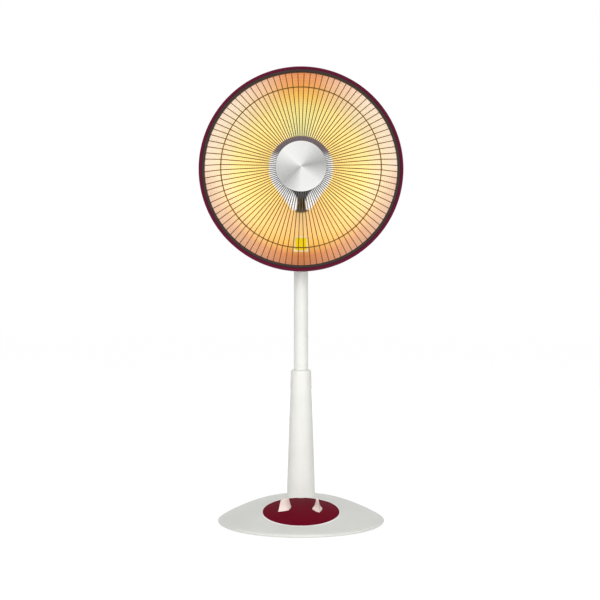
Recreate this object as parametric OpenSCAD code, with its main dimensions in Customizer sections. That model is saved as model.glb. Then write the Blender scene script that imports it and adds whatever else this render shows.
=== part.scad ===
// Pedestal dish heater. Millimetres, +Z up, the front faces -Y.
// The origin is the centre of the base disc, on the floor.

/* [Head] */
// Outer diameter of the front ring
ring_d = 400; // [370:1:430]
// Width of the ring's coloured front face
ring_face_w = 6.3; // [4:0.1:8]
// Depth of the ring's side wall
ring_depth = 33; // [28:1:40]
// Thickness of the ring's sheet
ring_wall = 2; // [1.2:0.1:2.6]
// Height of the head's axis above the floor
head_z = 697; // [670:1:730]
// Distance of the ring's front face in front of the base centre
face_fwd = 48; // [40:1:60]
// Depth of the back shell behind the ring
shell_depth = 65; // [60:1:75]
// Wall of the back shell
shell_wall = 2.5; // [1.5:0.1:3.5]
// Number of cooling slots in the back shell
vent_count = 18; // [6:1:30]
// Width of one cooling slot
vent_w = 4.5; // [2.5:0.1:7]
// Depth of the reflector bowl
bowl_depth = 80.8; // [70:0.1:84]
// Thickness of the reflector, shield and cowl sheets
sheet_t = 0.8; // [0.5:0.1:1.2]
// Gap between the reflector and the heat shield behind it
shield_gap = 2.6; // [1.5:0.1:4]

/* [Guard] */
// Number of radial wires
wire_count = 96; // [48:1:120]
// Diameter of a radial wire
wire_d = 1.6; // [1:0.1:2.4]
// Diameter of the circle of the middle hoop
hoop_d = 310; // [260:1:340]
// Thickness of the hoop's wire
hoop_wire_d = 2.4; // [1.6:0.1:3.2]
// Distance of the hoop in front of the ring's face
hoop_fwd = 24; // [16:1:30]
// Distance of the centre badge's front in front of the ring's face
badge_fwd = 44; // [40:1:50]
// Width of the dark rim that the wires end in
rim_w = 5.7; // [4:0.1:9]
// Diameter of the centre badge
badge_d = 97; // [80:1:120]
// Thickness of the centre badge
badge_t = 4; // [2.5:0.1:6]
// Thickness of the hub plate behind the badge
hub_t = 1.5; // [1:0.1:2.5]

/* [Lamp] */
// Radius of the cowl's round upper part
cowl_r = 62.5; // [56:0.5:70]
// Radius of the cowl's narrow lower end
cowl_tail_r = 27.5; // [24:0.5:34]
// Drop from the cowl's centre to the centre of its lower end
cowl_tail_drop = 59; // [50:1:66]
// Depth of the cowl, back edge to front
cowl_depth = 25; // [22:1:27]
// Distance of the cowl's back edge in front of the base centre
cowl_fwd = 42; // [38:1:44]
// Diameter of the quartz tube
lamp_d = 12; // [9:0.5:14]
// Length of the quartz tube between its end caps
lamp_len = 92; // [70:1:96]
// Drop from the head's axis to the middle of the lamp
lamp_drop = 12; // [8:1:16]
// Diameter of a ceramic end cap
cap_d = 16; // [15:0.5:19]
// Length of a ceramic end cap
cap_len = 14; // [10:1:16]
// Width of the bracket that holds the lamp
bracket_w = 20; // [19:1:24]
// Diameter of a cowl post
post_d = 5; // [4:0.5:7]
// Width of the blank tag on the reflector
tag_w = 29; // [18:1:32]
// Height of the blank tag as seen from the front
tag_h = 32; // [20:1:36]
// Height of the tag's middle above the bowl's lower edge
tag_rise = 42; // [32:1:52]

/* [Post] */
// Distance of the post's axis behind the base centre
pole_back = 55; // [50:1:60]
// Diameter of the column at its foot
column_foot_d = 57.4; // [54:0.2:62]
// Diameter of the column at its top
column_top_d = 40.9; // [38:0.1:44]
// Height of the column's top above the floor
column_top_z = 299; // [280:1:320]
// Wall of the column
column_wall = 2.4; // [1.8:0.1:3]
// Thickness of the column's floor
column_floor_t = 14; // [12:1:18]
// Outer diameter of the sliding tube
tube_d = 29; // [26:0.5:30]
// Wall of the sliding tube
tube_wall = 1.2; // [1:0.1:2]
// Height of the sliding tube's lower end above the floor
tube_low_z = 130; // [125:1:140]
// Length of the guide bush in the column's top
guide_len = 51; // [45:1:55]
// Drop from the column's top to the clamp screw
clamp_drop = 27; // [20:1:32]
// Diameter of the clamp screw
clamp_d = 6; // [5:0.5:7]
// Diameter of the clamp knob
clamp_knob_d = 30; // [24:1:36]

/* [Neck] */
// Height of the tilt axis below the head's axis
tilt_drop = 85; // [82:1:88]
// Height of the neck housing below the tilt axis, at its top face
neck_drop = 38; // [38:1:42]
// Height of the neck housing
neck_h = 69; // [66:1:72]
// Wall of the neck housing
neck_wall = 2.5; // [2:0.1:3]
// Distance of the swing motor behind the post's axis
motor_back = 39; // [39:0.5:43]
// Diameter of the swing motor
motor_d = 42; // [36:1:42]
// Length of the swing motor's body
motor_h = 36; // [28:1:38]
// Diameter of the swing spindle
spindle_d = 16; // [15:0.5:18]
// Radius of the rocker arm's pin
rocker_r = 15; // [13:0.5:15]
// Swing of the head each way that the crank is laid out for, in degrees
crank_swing = 36; // [33:0.5:38]
// Distance between the yoke's ears
yoke_gap = 33.4; // [30:0.2:36]
// Thickness of a yoke ear
ear_t = 4; // [3:0.5:5]
// Radius of a yoke ear about the tilt axis
ear_r = 15; // [13:0.5:16]
// Diameter of the tilt bolt
tilt_bolt_d = 8; // [6:0.5:10]

/* [Base] */
// Diameter of the base disc
base_d = 330; // [310:1:350]
// Height of the base dome's top above the floor
base_top_z = 44; // [42:0.5:48]
// Height of the straight rim's top above the floor
base_rim_z = 6.5; // [6:0.5:9]
// Height of the rubber feet below the base
foot_h = 1.5; // [1:0.1:2.5]
// Wall of the base shell
base_wall = 2.5; // [2:0.1:3]
// Thickness of the bottom cover
plate_t = 2.5; // [2.2:0.1:3.5]
// Diameter of the steel weight
weight_d = 256; // [230:1:270]
// Thickness of the steel weight
weight_t = 5; // [4:0.2:5.4]
// Slope of the control panel, in degrees
seat_tilt = 10.7; // [10:0.1:11.5]
// Diameter of the control panel
panel_d = 149; // [130:1:155]
// Thickness of the control panel
panel_t = 2; // [1.5:0.1:2.6]
// Distance of the panel's middle in front of the base centre
panel_fwd = 48; // [44:1:54]
// Distance from the panel's middle line to each knob
knob_side = 32; // [28:0.2:40]
// Distance of the knobs behind the panel's middle
knob_back = 10; // [4:1:22]
// Height of a knob
knob_h = 21; // [14:0.5:24]
// Length of a knob at its foot
knob_len = 37.5; // [30:0.5:42]
// Width of a knob at its foot
knob_w = 20; // [16:0.5:24]
// Diameter of a control shaft
shaft_d = 6; // [5:0.5:8]
// Diameter of the tip-over plunger
plunger_d = 6; // [5:0.5:7]

/* [Hidden] */
$fn = 96;
hull_fn = 32;

// Clearances
grip = 0.02;
run = 0.05;
fit = 0.1;
gap = 0.3;
cut = 1;

// Shared places of the base
base_r = base_d / 2;
plate_top = foot_h + plate_t;
weight_top = plate_top + weight_t;
dome_h = base_top_z - base_rim_z;
weight_back = 9;
spring_low = weight_top + 6.2;
spring_high = spring_low + 13.6;
spring_r = plunger_d / 2 + 1.8;
seat_r = panel_d / 2 + 0.6;
seat_z = base_rim_z + (base_r - panel_fwd) * tan(seat_tilt);
seat_under = base_wall * (cos(seat_tilt) + sin(seat_tilt));
seat_recess = 1.2;
shaft_top = 11;
panel_top = panel_t - seat_recess;
boss_ring_r = base_r - 19;
boss_angles = [0, 60, 120, 180, 238, 302];
screw_d = 4;
screw_head_d = 7.4;
screw_head_t = 1.6;
screw_len = 7;
screw_boss_r = 5;
wire_hole_r = 5;
ring_screw_r = 1.5;
ring_head_r = 2.8;
ring_head_t = 1.1;
side_unit_x = 62;
side_unit_y = 70;
foot_ring_r = base_r - 32;
foot_count = 5;
dome_top_w = 5;
dome_top_back = 27;
collar_w = 6;
collar_h = 4;
gland_z = 14;
gland_end = base_r - 4;
gland_hole_r = 4;
gland_flange_r = 4.9;
gland_flange_t = 3;
gland_boss_r = 6.5;
gland_under = dome_rear((gland_z + gland_flange_r + base_wall - base_rim_z) / dome_h, base_r - base_wall);
gland_len = gland_end - gland_under + 1;
cord_r = 3;
foot_d = 18;
foot_stem_d = 6;
column_screw_d = 5;
column_screw_r = 20;
column_screw_head = 2.2;

// Shared places of the post
foot_r = column_foot_d / 2;
column_r = column_top_d / 2;
taper_low_z = base_top_z + 2;
column_round = 4;
taper_top_z = column_top_z - column_round;
tube_r = tube_d / 2;
tube_top_z = head_z - tilt_drop - neck_drop - neck_h + 35;
guide_top_z = column_top_z - 3;
guide_low_z = guide_top_z - guide_len;
clamp_z = column_top_z - clamp_drop;
bush_len = 33;
pad_d = clamp_d + 4;
pad_len = 3.6;
pad_low = tube_r + gap;
boss_out = column_at(clamp_z) + 9;
boss_r = 8;
clamp_nut_r = clamp_d / 2 + 1.5;
knob_low = boss_out + 2.5;
knob_t = 15;
screw_depth = 11;

// Shared places of the head, along its axis: f is the distance in front of the base centre
ring_r = ring_d / 2;
ring_back_f = face_fwd - ring_depth;
lip_back_f = face_fwd - ring_wall;
rim_flange_t = 4;
rim_front_f = lip_back_f - fit;
rim_back_f = rim_front_f - rim_flange_t;
rim_out_r = ring_r - ring_face_w;
rim_in_r = rim_out_r - rim_w;
bowl_front_f = rim_back_f - fit;
bowl_r = rim_in_r - 1;
tag_drop = bowl_r - tag_rise;
shell_front_f = bowl_front_f - sheet_t - fit;
shell_rim_r = ring_r - ring_wall - fit;
shell_edge_r = ring_r - 0.5;
badge_r = badge_d / 2;
badge_back_f = face_fwd + badge_fwd - badge_t;
wire_r = wire_d / 2;
wire_hub_f = badge_back_f - fit - wire_r;
hub_front_f = wire_hub_f - wire_r - run;
hub_r = badge_r - 4.5;
hub_hole_r = 20;
hoop_r = hoop_d / 2;
wire_sides = 5;
wire_route = [[hub_r - 3, wire_hub_f], [badge_r, wire_hub_f], [hoop_r, face_fwd + hoop_fwd],
  [rim_in_r - run, face_fwd + 1.5]];
lamp_f = cowl_fwd + 10;
lamp_low = -lamp_drop - lamp_len / 2;
lamp_high = -lamp_drop + lamp_len / 2;
cap_bore = 8;
strip_f = bowl_f((lamp_len + 2 * cap_len) / 2 + lamp_drop) + 5;
strip_t = 1.5;
bracket_pin_r = 2;
cowl_front_f = cowl_fwd + cowl_depth;
post_places = [[-40, 20], [40, 20], [-15, -48], [15, -48]];
cutout_d = 16;
cutout_r = 80;

// Shared places of the neck
tilt_z = head_z - tilt_drop;
neck_top = tilt_z - neck_drop;
neck_low = neck_top - neck_h;
cover_t = 4;
cover_low = neck_top - cover_t;
motor_r = motor_d / 2;
neck_motor_r = motor_r + 0.5 + neck_wall;
neck_pole_r = rocker_r + 6.5 + neck_wall;
motor_low = neck_low + neck_wall + fit;
motor_top = motor_low + motor_h;
motor_boss_h = 5;
rocker_low = cover_low - 14.5;
rocker_t = 4.5;
link_low = rocker_low + rocker_t + 1;
link_t = 3;
pin_top = link_low + link_t + 2;
crank_t = 4;
shaft_r = 3;
pin_r = 2;
open_slack = 1.8;
spindle_r = spindle_d / 2;
spindle_low = tube_top_z + 1;
journal_r = spindle_r - 2;
bush_r = journal_r + 2;
spindle_bore_r = 3.5;
bush_top = spindle_low + 12;
flange_low = neck_top + 1.2;
flange_t = 3;
flange_r = 20;
yoke_low = flange_low + flange_t;
neck_screw_spots = [[0, 3.2 - neck_pole_r], [neck_motor_r * 0.64, motor_back + neck_motor_r * 0.64],
  [-neck_motor_r * 0.64, motor_back + neck_motor_r * 0.64]];
yoke_floor_t = 4;
yoke_hole_r = 2;
neck_screw_r = 1.5;
block_screw_r = 2;
yoke_screw_r = 12.5;
ear_in = yoke_gap / 2;
block_w = yoke_gap - 2 * gap;
lug_r = ear_r - 1;
block_foot_h = 44;
block_foot_t = 4;
block_seat = 0.5 - shell_f(tilt_drop - block_foot_h / 2);
bolt_head_t = 5;
nut_t = 6;
hex_r = tilt_bolt_d * 0.85;

// Crank layout, seen from above: the rocker's pin lies at +X at rest
rocker_far = norm([rocker_r * cos(crank_swing), motor_back + rocker_r * sin(crank_swing)]);
rocker_near = norm([rocker_r * cos(crank_swing), motor_back - rocker_r * sin(crank_swing)]);
crank_r = (rocker_far - rocker_near) / 2;
link_len = (rocker_far + rocker_near) / 2;
rest_dist = norm([rocker_r, motor_back]);
crank_inner = acos((crank_r * crank_r + rest_dist * rest_dist - link_len * link_len)
  / (2 * crank_r * rest_dist));
crank_rest = crank_inner - atan2(motor_back, rocker_r);
crank_pin = [crank_r * cos(crank_rest), motor_back + crank_r * sin(crank_rest)];
link_angle = atan2(-crank_pin.y, rocker_r - crank_pin.x);

// Radius of the column's outside at height z
function column_at(z) = foot_r + (column_r - foot_r) * (z - taper_low_z) / (taper_top_z - taper_low_z);

// Front face of the reflector at radius r from the head's axis
function bowl_f(r) = bowl_front_f - bowl_depth * (1 - pow(r / bowl_r, 2));

// Back face of the back shell at radius r from the head's axis
function shell_f(r) = ring_back_f - shell_depth * (1 - pow(min(r, ring_r) / ring_r, 1.5));

// Evenly spaced values from a to b, ends included
function steps(a, b, n) = [for (i = [0:n]) a + (b - a) * i / n];

// Half width, front and rear edge of the base dome at the share t of its height
function dome_half(t, r) = foot_r + dome_top_w + (r - foot_r - dome_top_w) * pow(1 - t, 0.62);
function dome_front(t, r) = -r + t * dome_h / tan(seat_tilt);
function dome_rear(t, r) = pole_back + dome_top_back + (r - pole_back - dome_top_back) * pow(1 - t, 0.7);

module at_pole(z = 0) {
  translate([0, pole_back, z]) children();
}

// Head frame: +Z runs forward along the head's axis and +Y runs up
module at_head() {
  translate([0, 0, head_z]) rotate([90, 0, 0]) children();
}

// Panel frame: the origin is the panel seat's middle and +Z is square to it
module at_seat() {
  translate([0, -panel_fwd, seat_z]) rotate([seat_tilt, 0, 0]) children();
}

module at_knob(side) {
  at_seat() translate([side * knob_side, knob_back, 0]) children();
}

// A cylinder that lies along Y, from y0 to y1
module rod_y(r, y0, y1) {
  translate([0, y0, 0]) rotate([-90, 0, 0]) cylinder(r = r, h = y1 - y0);
}

// A cylinder that lies along X, from x0 to x1
module rod_x(r, x0, x1) {
  translate([x0, 0, 0]) rotate([0, 90, 0]) cylinder(r = r, h = x1 - x0);
}

// A straight tube from z0 to z1
module pipe(outer, inner, z0, z1) {
  translate([0, 0, z0]) difference() {
    cylinder(r = outer, h = z1 - z0);
    translate([0, 0, -cut]) cylinder(r = inner, h = z1 - z0 + 2 * cut);
  }
}

// The base dome: ellipses stacked under the panel's slope, drawn in by inset
module dome(inset = 0) {
  r = base_r - inset;
  translate([0, 0, -inset]) hull() {
    for (t = [0, 0.1, 0.25, 0.45, 0.65, 0.82, 0.93, 1]) {
      front = dome_front(t, r);
      rear = dome_rear(t, r);
      translate([0, (front + rear) / 2, base_rim_z + t * dome_h - 0.1])
        scale([2 * dome_half(t, r) / (rear - front), 1, 1])
          cylinder(r = (rear - front) / 2, h = 0.1, $fn = 48);
    }
    translate([0, -panel_fwd, base_rim_z + (r - panel_fwd) * tan(seat_tilt)])
      rotate([seat_tilt, 0, 0]) translate([0, 0, -0.1]) cylinder(r = seat_r + 1, h = 0.1, $fn = 48);
  }
}

module boss_places() {
  for (a = boss_angles) rotate([0, 0, a]) translate([boss_ring_r, 0, 0]) children();
}

module column_screw_places() {
  for (a = [45:90:315]) at_pole() rotate([0, 0, a]) translate([column_screw_r, 0, 0]) children();
}

module foot_places() {
  for (i = [0:foot_count - 1]) {
    rotate([0, 0, 270 + i * 360 / foot_count]) translate([foot_ring_r, 0, 0]) children();
  }
}

module base_shell() {
  color("gainsboro") difference() {
    union() {
      difference() {
        union() {
          dome();
          translate([0, 0, foot_h]) cylinder(r = base_r, h = base_rim_z - foot_h);
        }
        dome(base_wall);
        translate([0, 0, foot_h - cut])
          cylinder(r = base_r - base_wall, h = base_rim_z - base_wall - foot_h + cut);
      }
      intersection() {
        dome();
        boss_places() translate([0, 0, plate_top]) cylinder(r = screw_boss_r, h = dome_h);
      }
      translate([0, 0, gland_z]) rod_y(gland_boss_r, gland_end - gland_len, gland_end);
      at_pole() rotate_extrude() polygon(concat(
        [[foot_r, base_top_z - collar_h], [foot_r + collar_w, base_top_z - collar_h]],
        [for (a = steps(270, 180, 6))
          [foot_r + collar_w * (1 + cos(a)), base_top_z + collar_h * (0.875 + sin(a))]]));
    }
    at_pole() cylinder(r = foot_r + gap, h = base_top_z + 2 * collar_h);
    at_seat() translate([0, 0, -seat_recess]) cylinder(r = seat_r, h = base_top_z);
    for (side = [-1, 1]) at_knob(side) translate([0, 0, -shaft_top])
      cylinder(r = shaft_d / 2 + 1, h = 2 * shaft_top);
    boss_places() translate([0, 0, foot_h]) cylinder(r = screw_d / 2 + run, h = screw_len + cut);
    translate([0, 0, gland_z]) rod_y(gland_hole_r, gland_end - gland_len - cut, base_r);
  }
}

module base_plate() {
  color("dimgray") difference() {
    translate([0, 0, foot_h]) cylinder(r = base_r - base_wall - fit, h = plate_t);
    boss_places() translate([0, 0, foot_h - cut]) {
      cylinder(r = screw_d / 2 + fit, h = 20);
      cylinder(r = screw_head_d / 2 + fit, h = cut + screw_head_t);
    }
    foot_places() cylinder(r = foot_stem_d / 2 + fit, h = 20);
    translate([side_unit_x, side_unit_y, 0]) cylinder(r = plunger_d / 2 + gap, h = 20);
  }
}

module base_weight() {
  color("slategray") difference() {
    translate([0, weight_back, plate_top]) cylinder(r = weight_d / 2, h = weight_t);
    column_screw_places() {
      cylinder(r = column_screw_d / 2 + fit, h = 40);
      cylinder(r = column_screw_d, h = plate_top + column_screw_head + fit);
    }
    at_pole() cylinder(r = wire_hole_r, h = 40);
    boss_places() cylinder(r = screw_boss_r + cut, h = 40);
    foot_places() cylinder(r = foot_stem_d / 2 + cut, h = 40);
    translate([side_unit_x, side_unit_y, 0]) cylinder(r = plunger_d / 2 + run, h = 40);
  }
}

module rubber_feet() {
  color("black") foot_places() {
    cylinder(r = foot_d / 2, h = foot_h);
    cylinder(r = foot_stem_d / 2, h = plate_top + 0.5);
  }
}

module base_screws() {
  color("silver") boss_places() translate([0, 0, foot_h + 0.1]) {
    cylinder(r = screw_head_d / 2, h = screw_head_t - 0.1);
    cylinder(r = screw_d / 2, h = screw_len);
  }
}

module control_panel() {
  color("darkred") difference() {
    at_seat() translate([0, 0, -seat_recess]) cylinder(r = panel_d / 2, h = panel_t);
    for (side = [-1, 1]) at_knob(side) translate([0, 0, -shaft_top])
      cylinder(r = shaft_d / 2 + 0.5, h = 2 * shaft_top);
  }
}

// Body of a control under the panel: a can on a square flange, with a bore for its shaft
module control_unit(side, can_r, can_h) {
  flange = [38, 22, 2];
  can_floor = 3;
  at_knob(side) translate([0, 0, -seat_under - run]) difference() {
    union() {
      translate([-flange.x / 2, -flange.y / 2, -flange.z]) cube(flange);
      translate([0, 0, -can_h]) cylinder(r = can_r, h = can_h);
    }
    translate([0, 0, can_floor - can_h]) cylinder(r = shaft_d / 2 + run, h = can_h);
  }
}

module control_shaft(side) {
  shaft_low = -seat_under - 10;
  at_knob(side) translate([0, 0, shaft_low]) cylinder(r = shaft_d / 2, h = shaft_top - shaft_low);
}

// One level of a knob: a long diamond with rounded corners
module knob_level(length, width, tip_r, z, t) {
  translate([0, 0, z]) linear_extrude(t) hull() {
    for (end = [-1, 1]) {
      translate([end * (length / 2 - tip_r), 0]) circle(r = tip_r, $fn = hull_fn);
      translate([0, end * (width / 2 - 1.2 * tip_r)]) circle(r = 1.2 * tip_r, $fn = hull_fn);
    }
  }
}

// Knob with a fin on a flared foot, turned by the angle about its shaft
module control_knob(side, turn) {
  knob_low = panel_top + 0.6;
  foot_t = 1.5;
  shoulder_z = knob_h * 0.4;
  crest_t = 1;
  at_knob(side) translate([0, 0, knob_low]) rotate([0, 0, turn]) difference() {
    union() {
      hull() {
        knob_level(knob_len, knob_w, 1.5, 0, foot_t);
        knob_level(knob_len * 0.86, knob_w * 0.52, 1.5, shoulder_z, crest_t);
      }
      hull() {
        knob_level(knob_len * 0.86, knob_w * 0.52, 1.5, shoulder_z, crest_t);
        knob_level(knob_len * 0.62, knob_w * 0.2, 1, knob_h - crest_t, crest_t);
      }
    }
    translate([0, 0, -cut]) cylinder(r = shaft_d / 2 + grip, h = shaft_top + 0.2 - knob_low + cut);
  }
}

module timer_unit() {
  color("ivory") control_unit(-1, 17, 14);
}

module timer_shaft() {
  color("silver") control_shaft(-1);
}

module timer_knob() {
  color("linen") control_knob(-1, 49);
}

module power_switch() {
  color("dimgray") control_unit(1, 15, 14);
}

module power_shaft() {
  color("silver") control_shaft(1);
}

module power_knob() {
  color("linen") control_knob(1, 99);
}

module tip_switch() {
  case = [18, 30, 23];
  color("black") translate([side_unit_x, side_unit_y, 0]) difference() {
    translate([-case.x / 2, -case.y / 2, weight_top]) cube(case);
    cylinder(r = spring_r + 1.4, h = spring_high + fit);
  }
}

module tip_spring() {
  color("silver") translate([side_unit_x, side_unit_y, 0])
    pipe(spring_r, spring_r - 1.2, spring_low, spring_high);
}

module tip_plunger() {
  collar_t = 2;
  color("ivory") translate([side_unit_x, side_unit_y, 0]) {
    cylinder(r = plunger_d / 2, h = 22);
    translate([0, 0, spring_low - collar_t]) cylinder(r = spring_r + 0.7, h = collar_t - fit);
  }
}

module terminal_block() {
  block = [40, 22, 16];
  pitch = 12;
  wire_z = 7;
  way_r = 2.2;
  color("ivory") translate([-side_unit_x - block.x / 2, side_unit_y - block.y / 2, weight_top]) difference() {
    cube(block);
    for (i = [-1:1]) translate([block.x / 2 + i * pitch, 0, wire_z]) {
      rod_y(way_r, -cut, block.y + cut);
      translate([0, block.y / 2, 0]) cylinder(r = way_r, h = block.z);
    }
  }
}

module cord_gland() {
  gland_in = gland_end - gland_len;
  color("black") translate([0, 0, gland_z]) difference() {
    union() {
      rod_y(gland_hole_r - fit, gland_in - gland_flange_t, gland_end + gland_flange_t);
      rod_y(gland_flange_r, gland_in - gland_flange_t, gland_in);
      rod_y(gland_flange_r, gland_end, gland_end + gland_flange_t);
    }
    rod_y(cord_r, gland_in - gland_flange_t - cut, gland_end + gland_flange_t + cut);
  }
}

module column() {
  hole_r = tube_r + 0.4;
  color("whitesmoke") difference() {
    at_pole() {
      rotate_extrude() polygon(concat(
        [[0, weight_top], [foot_r, weight_top], [foot_r, taper_low_z], [column_r, taper_top_z]],
        [for (a = steps(15, 90, 5))
          [column_r - column_round * (1 - cos(a)), taper_top_z + column_round * sin(a)]],
        [[0, column_top_z]]));
      translate([0, 0, clamp_z]) rod_y(boss_r, tube_r, boss_out);
    }
    at_pole() rotate_extrude() polygon([
      [0, weight_top + column_floor_t], [foot_r - column_wall, weight_top + column_floor_t],
      [foot_r - column_wall, taper_low_z], [column_r - column_wall, taper_top_z],
      [column_r - column_wall, guide_top_z + fit], [0, guide_top_z + fit]]);
    at_pole() cylinder(r = hole_r, h = column_top_z + 1);
    column_screw_places() translate([0, 0, weight_top - cut])
      cylinder(r = column_screw_d / 2 + run, h = column_floor_t - 1);
    at_pole(clamp_z) rod_y(clamp_nut_r + fit, 0, boss_out + cut);
    at_pole(clamp_z) rod_y(pad_d / 2 + fit, 0, column_at(clamp_z));
  }
}

module column_screws() {
  color("silver") column_screw_places() translate([0, 0, plate_top + fit]) {
    cylinder(r = column_screw_d - 0.5, h = column_screw_head - fit);
    cylinder(r = column_screw_d / 2, h = weight_t + column_floor_t - 4);
  }
}

module guide_bush() {
  wall_gap = column_wall + fit;
  color("white") at_pole() difference() {
    rotate_extrude() polygon([
      [tube_r + fit, guide_low_z], [column_at(guide_low_z) - wall_gap, guide_low_z],
      [column_r - wall_gap, taper_top_z], [column_r - wall_gap, guide_top_z],
      [tube_r + fit, guide_top_z]]);
    translate([0, 0, clamp_z]) rod_y(pad_d / 2 + fit, 0, 40);
  }
}

module clamp_nut() {
  nut_low = column_at(clamp_z) + 0.5;
  color("gold") at_pole(clamp_z) difference() {
    rod_y(clamp_nut_r, nut_low, boss_out - fit);
    rod_y(clamp_d / 2 + run, nut_low - cut, boss_out + cut);
  }
}

module clamp_pad() {
  color("white") at_pole() difference() {
    translate([0, 0, clamp_z]) rod_y(pad_d / 2, tube_r - 2, pad_low + pad_len);
    translate([0, 0, clamp_z - pad_d]) cylinder(r = pad_low, h = 2 * pad_d);
  }
}

module clamp_screw() {
  color("silver") at_pole(clamp_z) rod_y(clamp_d / 2, pad_low + pad_len, knob_low + screw_depth);
}

module clamp_knob() {
  lobes = 6;
  neck_t = 3;
  dip_r = 6;
  color("whitesmoke") at_pole(clamp_z) difference() {
    union() {
      rod_y(clamp_knob_d / 2, knob_low + neck_t, knob_low + knob_t);
      rod_y(boss_r - 1, knob_low, knob_low + neck_t + 1);
    }
    for (i = [0:lobes - 1]) rotate([0, i * 360 / lobes, 0])
      translate([clamp_knob_d / 2 + dip_r / 2, 0, 0])
        rod_y(dip_r, knob_low + neck_t, knob_low + knob_t + cut);
    rod_y(clamp_d / 2 + grip, knob_low - cut, knob_low + screw_depth);
  }
}

module upper_tube() {
  color("whitesmoke") at_pole() pipe(tube_r, tube_r - tube_wall, tube_low_z, tube_top_z);
}

module tube_bush() {
  slide_r = column_at(guide_low_z) - column_wall - 1;
  color("white") at_pole() difference() {
    translate([0, 0, tube_low_z - 2]) cylinder(r = slide_r, h = bush_len + 2);
    translate([0, 0, tube_low_z]) cylinder(r = tube_r + fit, h = bush_len + cut);
    cylinder(r = tube_r - tube_wall - 1, h = tube_low_z + cut);
  }
}

// Outline of the neck in plan, drawn in by inset
module neck_plan(inset) {
  hull() {
    circle(r = neck_pole_r - inset, $fn = 48);
    translate([0, motor_back]) circle(r = neck_motor_r - inset, $fn = 48);
  }
}

module neck_screw_places() {
  for (p = neck_screw_spots) at_pole() translate([p.x, p.y, 0]) children();
}

module neck_housing() {
  block_r = tube_r + neck_wall + fit;
  color("darkslategray") difference() {
    union() {
      difference() {
        at_pole(neck_low) linear_extrude(neck_h - cover_t - fit) neck_plan(0);
        at_pole(neck_low + neck_wall) linear_extrude(neck_h) neck_plan(neck_wall);
      }
      at_pole(neck_low) cylinder(r = block_r, h = bush_top - neck_low - 1);
      intersection() {
        at_pole(neck_low) linear_extrude(neck_h) neck_plan(0);
        neck_screw_places() translate([0, 0, cover_low - 14]) cylinder(r = neck_screw_r + 2.1, h = 12 - fit);
      }
    }
    neck_screw_places() translate([0, 0, cover_low - 8]) cylinder(r = neck_screw_r + run, h = 10);
    at_pole() {
      cylinder(r = tube_r + run, h = tube_top_z);
      translate([0, 0, spindle_low]) cylinder(r = bush_r + fit, h = 60);
      cylinder(r = wire_hole_r, h = tube_top_z + 20);
    }
  }
}

module neck_cover() {
  color("darkslategray") difference() {
    union() {
      at_pole(cover_low) linear_extrude(cover_t) neck_plan(0);
      at_pole(cover_low - 2) linear_extrude(cover_t) neck_plan(neck_wall + fit);
    }
    at_pole(cover_low - cut - 2) cylinder(r = spindle_r + run, h = 10);
    at_pole(cover_low - cut - 2) translate([0, motor_back, 0]) cylinder(r = motor_r - 5, h = cut + 2);
    neck_screw_places() translate([0, 0, cover_low - 3]) {
      cylinder(r = neck_screw_r + fit, h = 10);
      translate([0, 0, 3 + cover_t - screw_head_t - fit]) cylinder(r = 2 * neck_screw_r + 0.2, h = 10);
    }
  }
}

module neck_screws() {
  color("silver") neck_screw_places() translate([0, 0, neck_top - screw_head_t]) {
    cylinder(r = 2 * neck_screw_r, h = screw_head_t - fit);
    translate([0, 0, -cover_t]) cylinder(r = neck_screw_r, h = cover_t);
  }
}

module swing_motor() {
  color("silver") at_pole() translate([0, motor_back, 0]) difference() {
    union() {
      translate([0, 0, motor_low]) cylinder(r = motor_r, h = motor_h);
      translate([0, 0, motor_top]) cylinder(r = shaft_r + 4, h = motor_boss_h);
    }
    translate([0, 0, motor_top - 8]) cylinder(r = shaft_r + run, h = 20);
  }
}

module motor_shaft() {
  color("gray") at_pole() translate([0, motor_back, motor_top - 7])
    cylinder(r = shaft_r, h = link_low - 0.5 - motor_top + 7);
}

module swing_crank() {
  crank_low = link_low - 0.5 - crank_t;
  color("gold") at_pole() {
    difference() {
      translate([0, motor_back, crank_low]) cylinder(r = crank_r + 4.3, h = crank_t);
      translate([0, motor_back, crank_low - cut]) cylinder(r = shaft_r + grip, h = crank_t + 2 * cut);
    }
    translate([crank_pin.x, crank_pin.y, crank_low]) cylinder(r = pin_r, h = pin_top - crank_low);
  }
}

module crank_link() {
  bar_w = 5;
  color("ivory") at_pole(link_low) translate([crank_pin.x, crank_pin.y, 0]) rotate([0, 0, link_angle])
    difference() {
      union() {
        cylinder(r = pin_r + 3, h = link_t);
        translate([0, -bar_w / 2, 0]) cube([link_len, bar_w, link_t]);
        translate([link_len, 0, 0]) cylinder(r = pin_r + open_slack + 2.5, h = link_t);
      }
      translate([0, 0, -cut]) cylinder(r = pin_r + run, h = link_t + 2 * cut);
      translate([link_len, 0, -cut]) cylinder(r = pin_r + open_slack, h = link_t + 2 * cut);
    }
}

module spindle_bush() {
  color("gold") at_pole() {
    pipe(bush_r, journal_r + run, spindle_low, bush_top);
    pipe(bush_r + 2.5, journal_r + run, bush_top - 0.9, bush_top + 1);
  }
}

module swing_spindle() {
  waist_r = spindle_r - 2;
  waist_low = link_low - 0.5;
  waist_high = link_low + link_t + 0.5;
  color("silver") at_pole() difference() {
    rotate_extrude() polygon([
      [spindle_bore_r, spindle_low + 0.5], [journal_r, spindle_low + 0.5], [journal_r, bush_top + 1.3],
      [spindle_r, bush_top + 1.3], [spindle_r, waist_low], [waist_r, waist_low], [waist_r, waist_high],
      [spindle_r, waist_high], [spindle_r, flange_low], [flange_r, flange_low],
      [flange_r, flange_low + flange_t], [spindle_bore_r, flange_low + flange_t]]);
    yoke_screw_places() translate([0, 0, flange_low - cut])
      cylinder(r = yoke_hole_r + run, h = flange_t + 2 * cut);
  }
}

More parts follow.
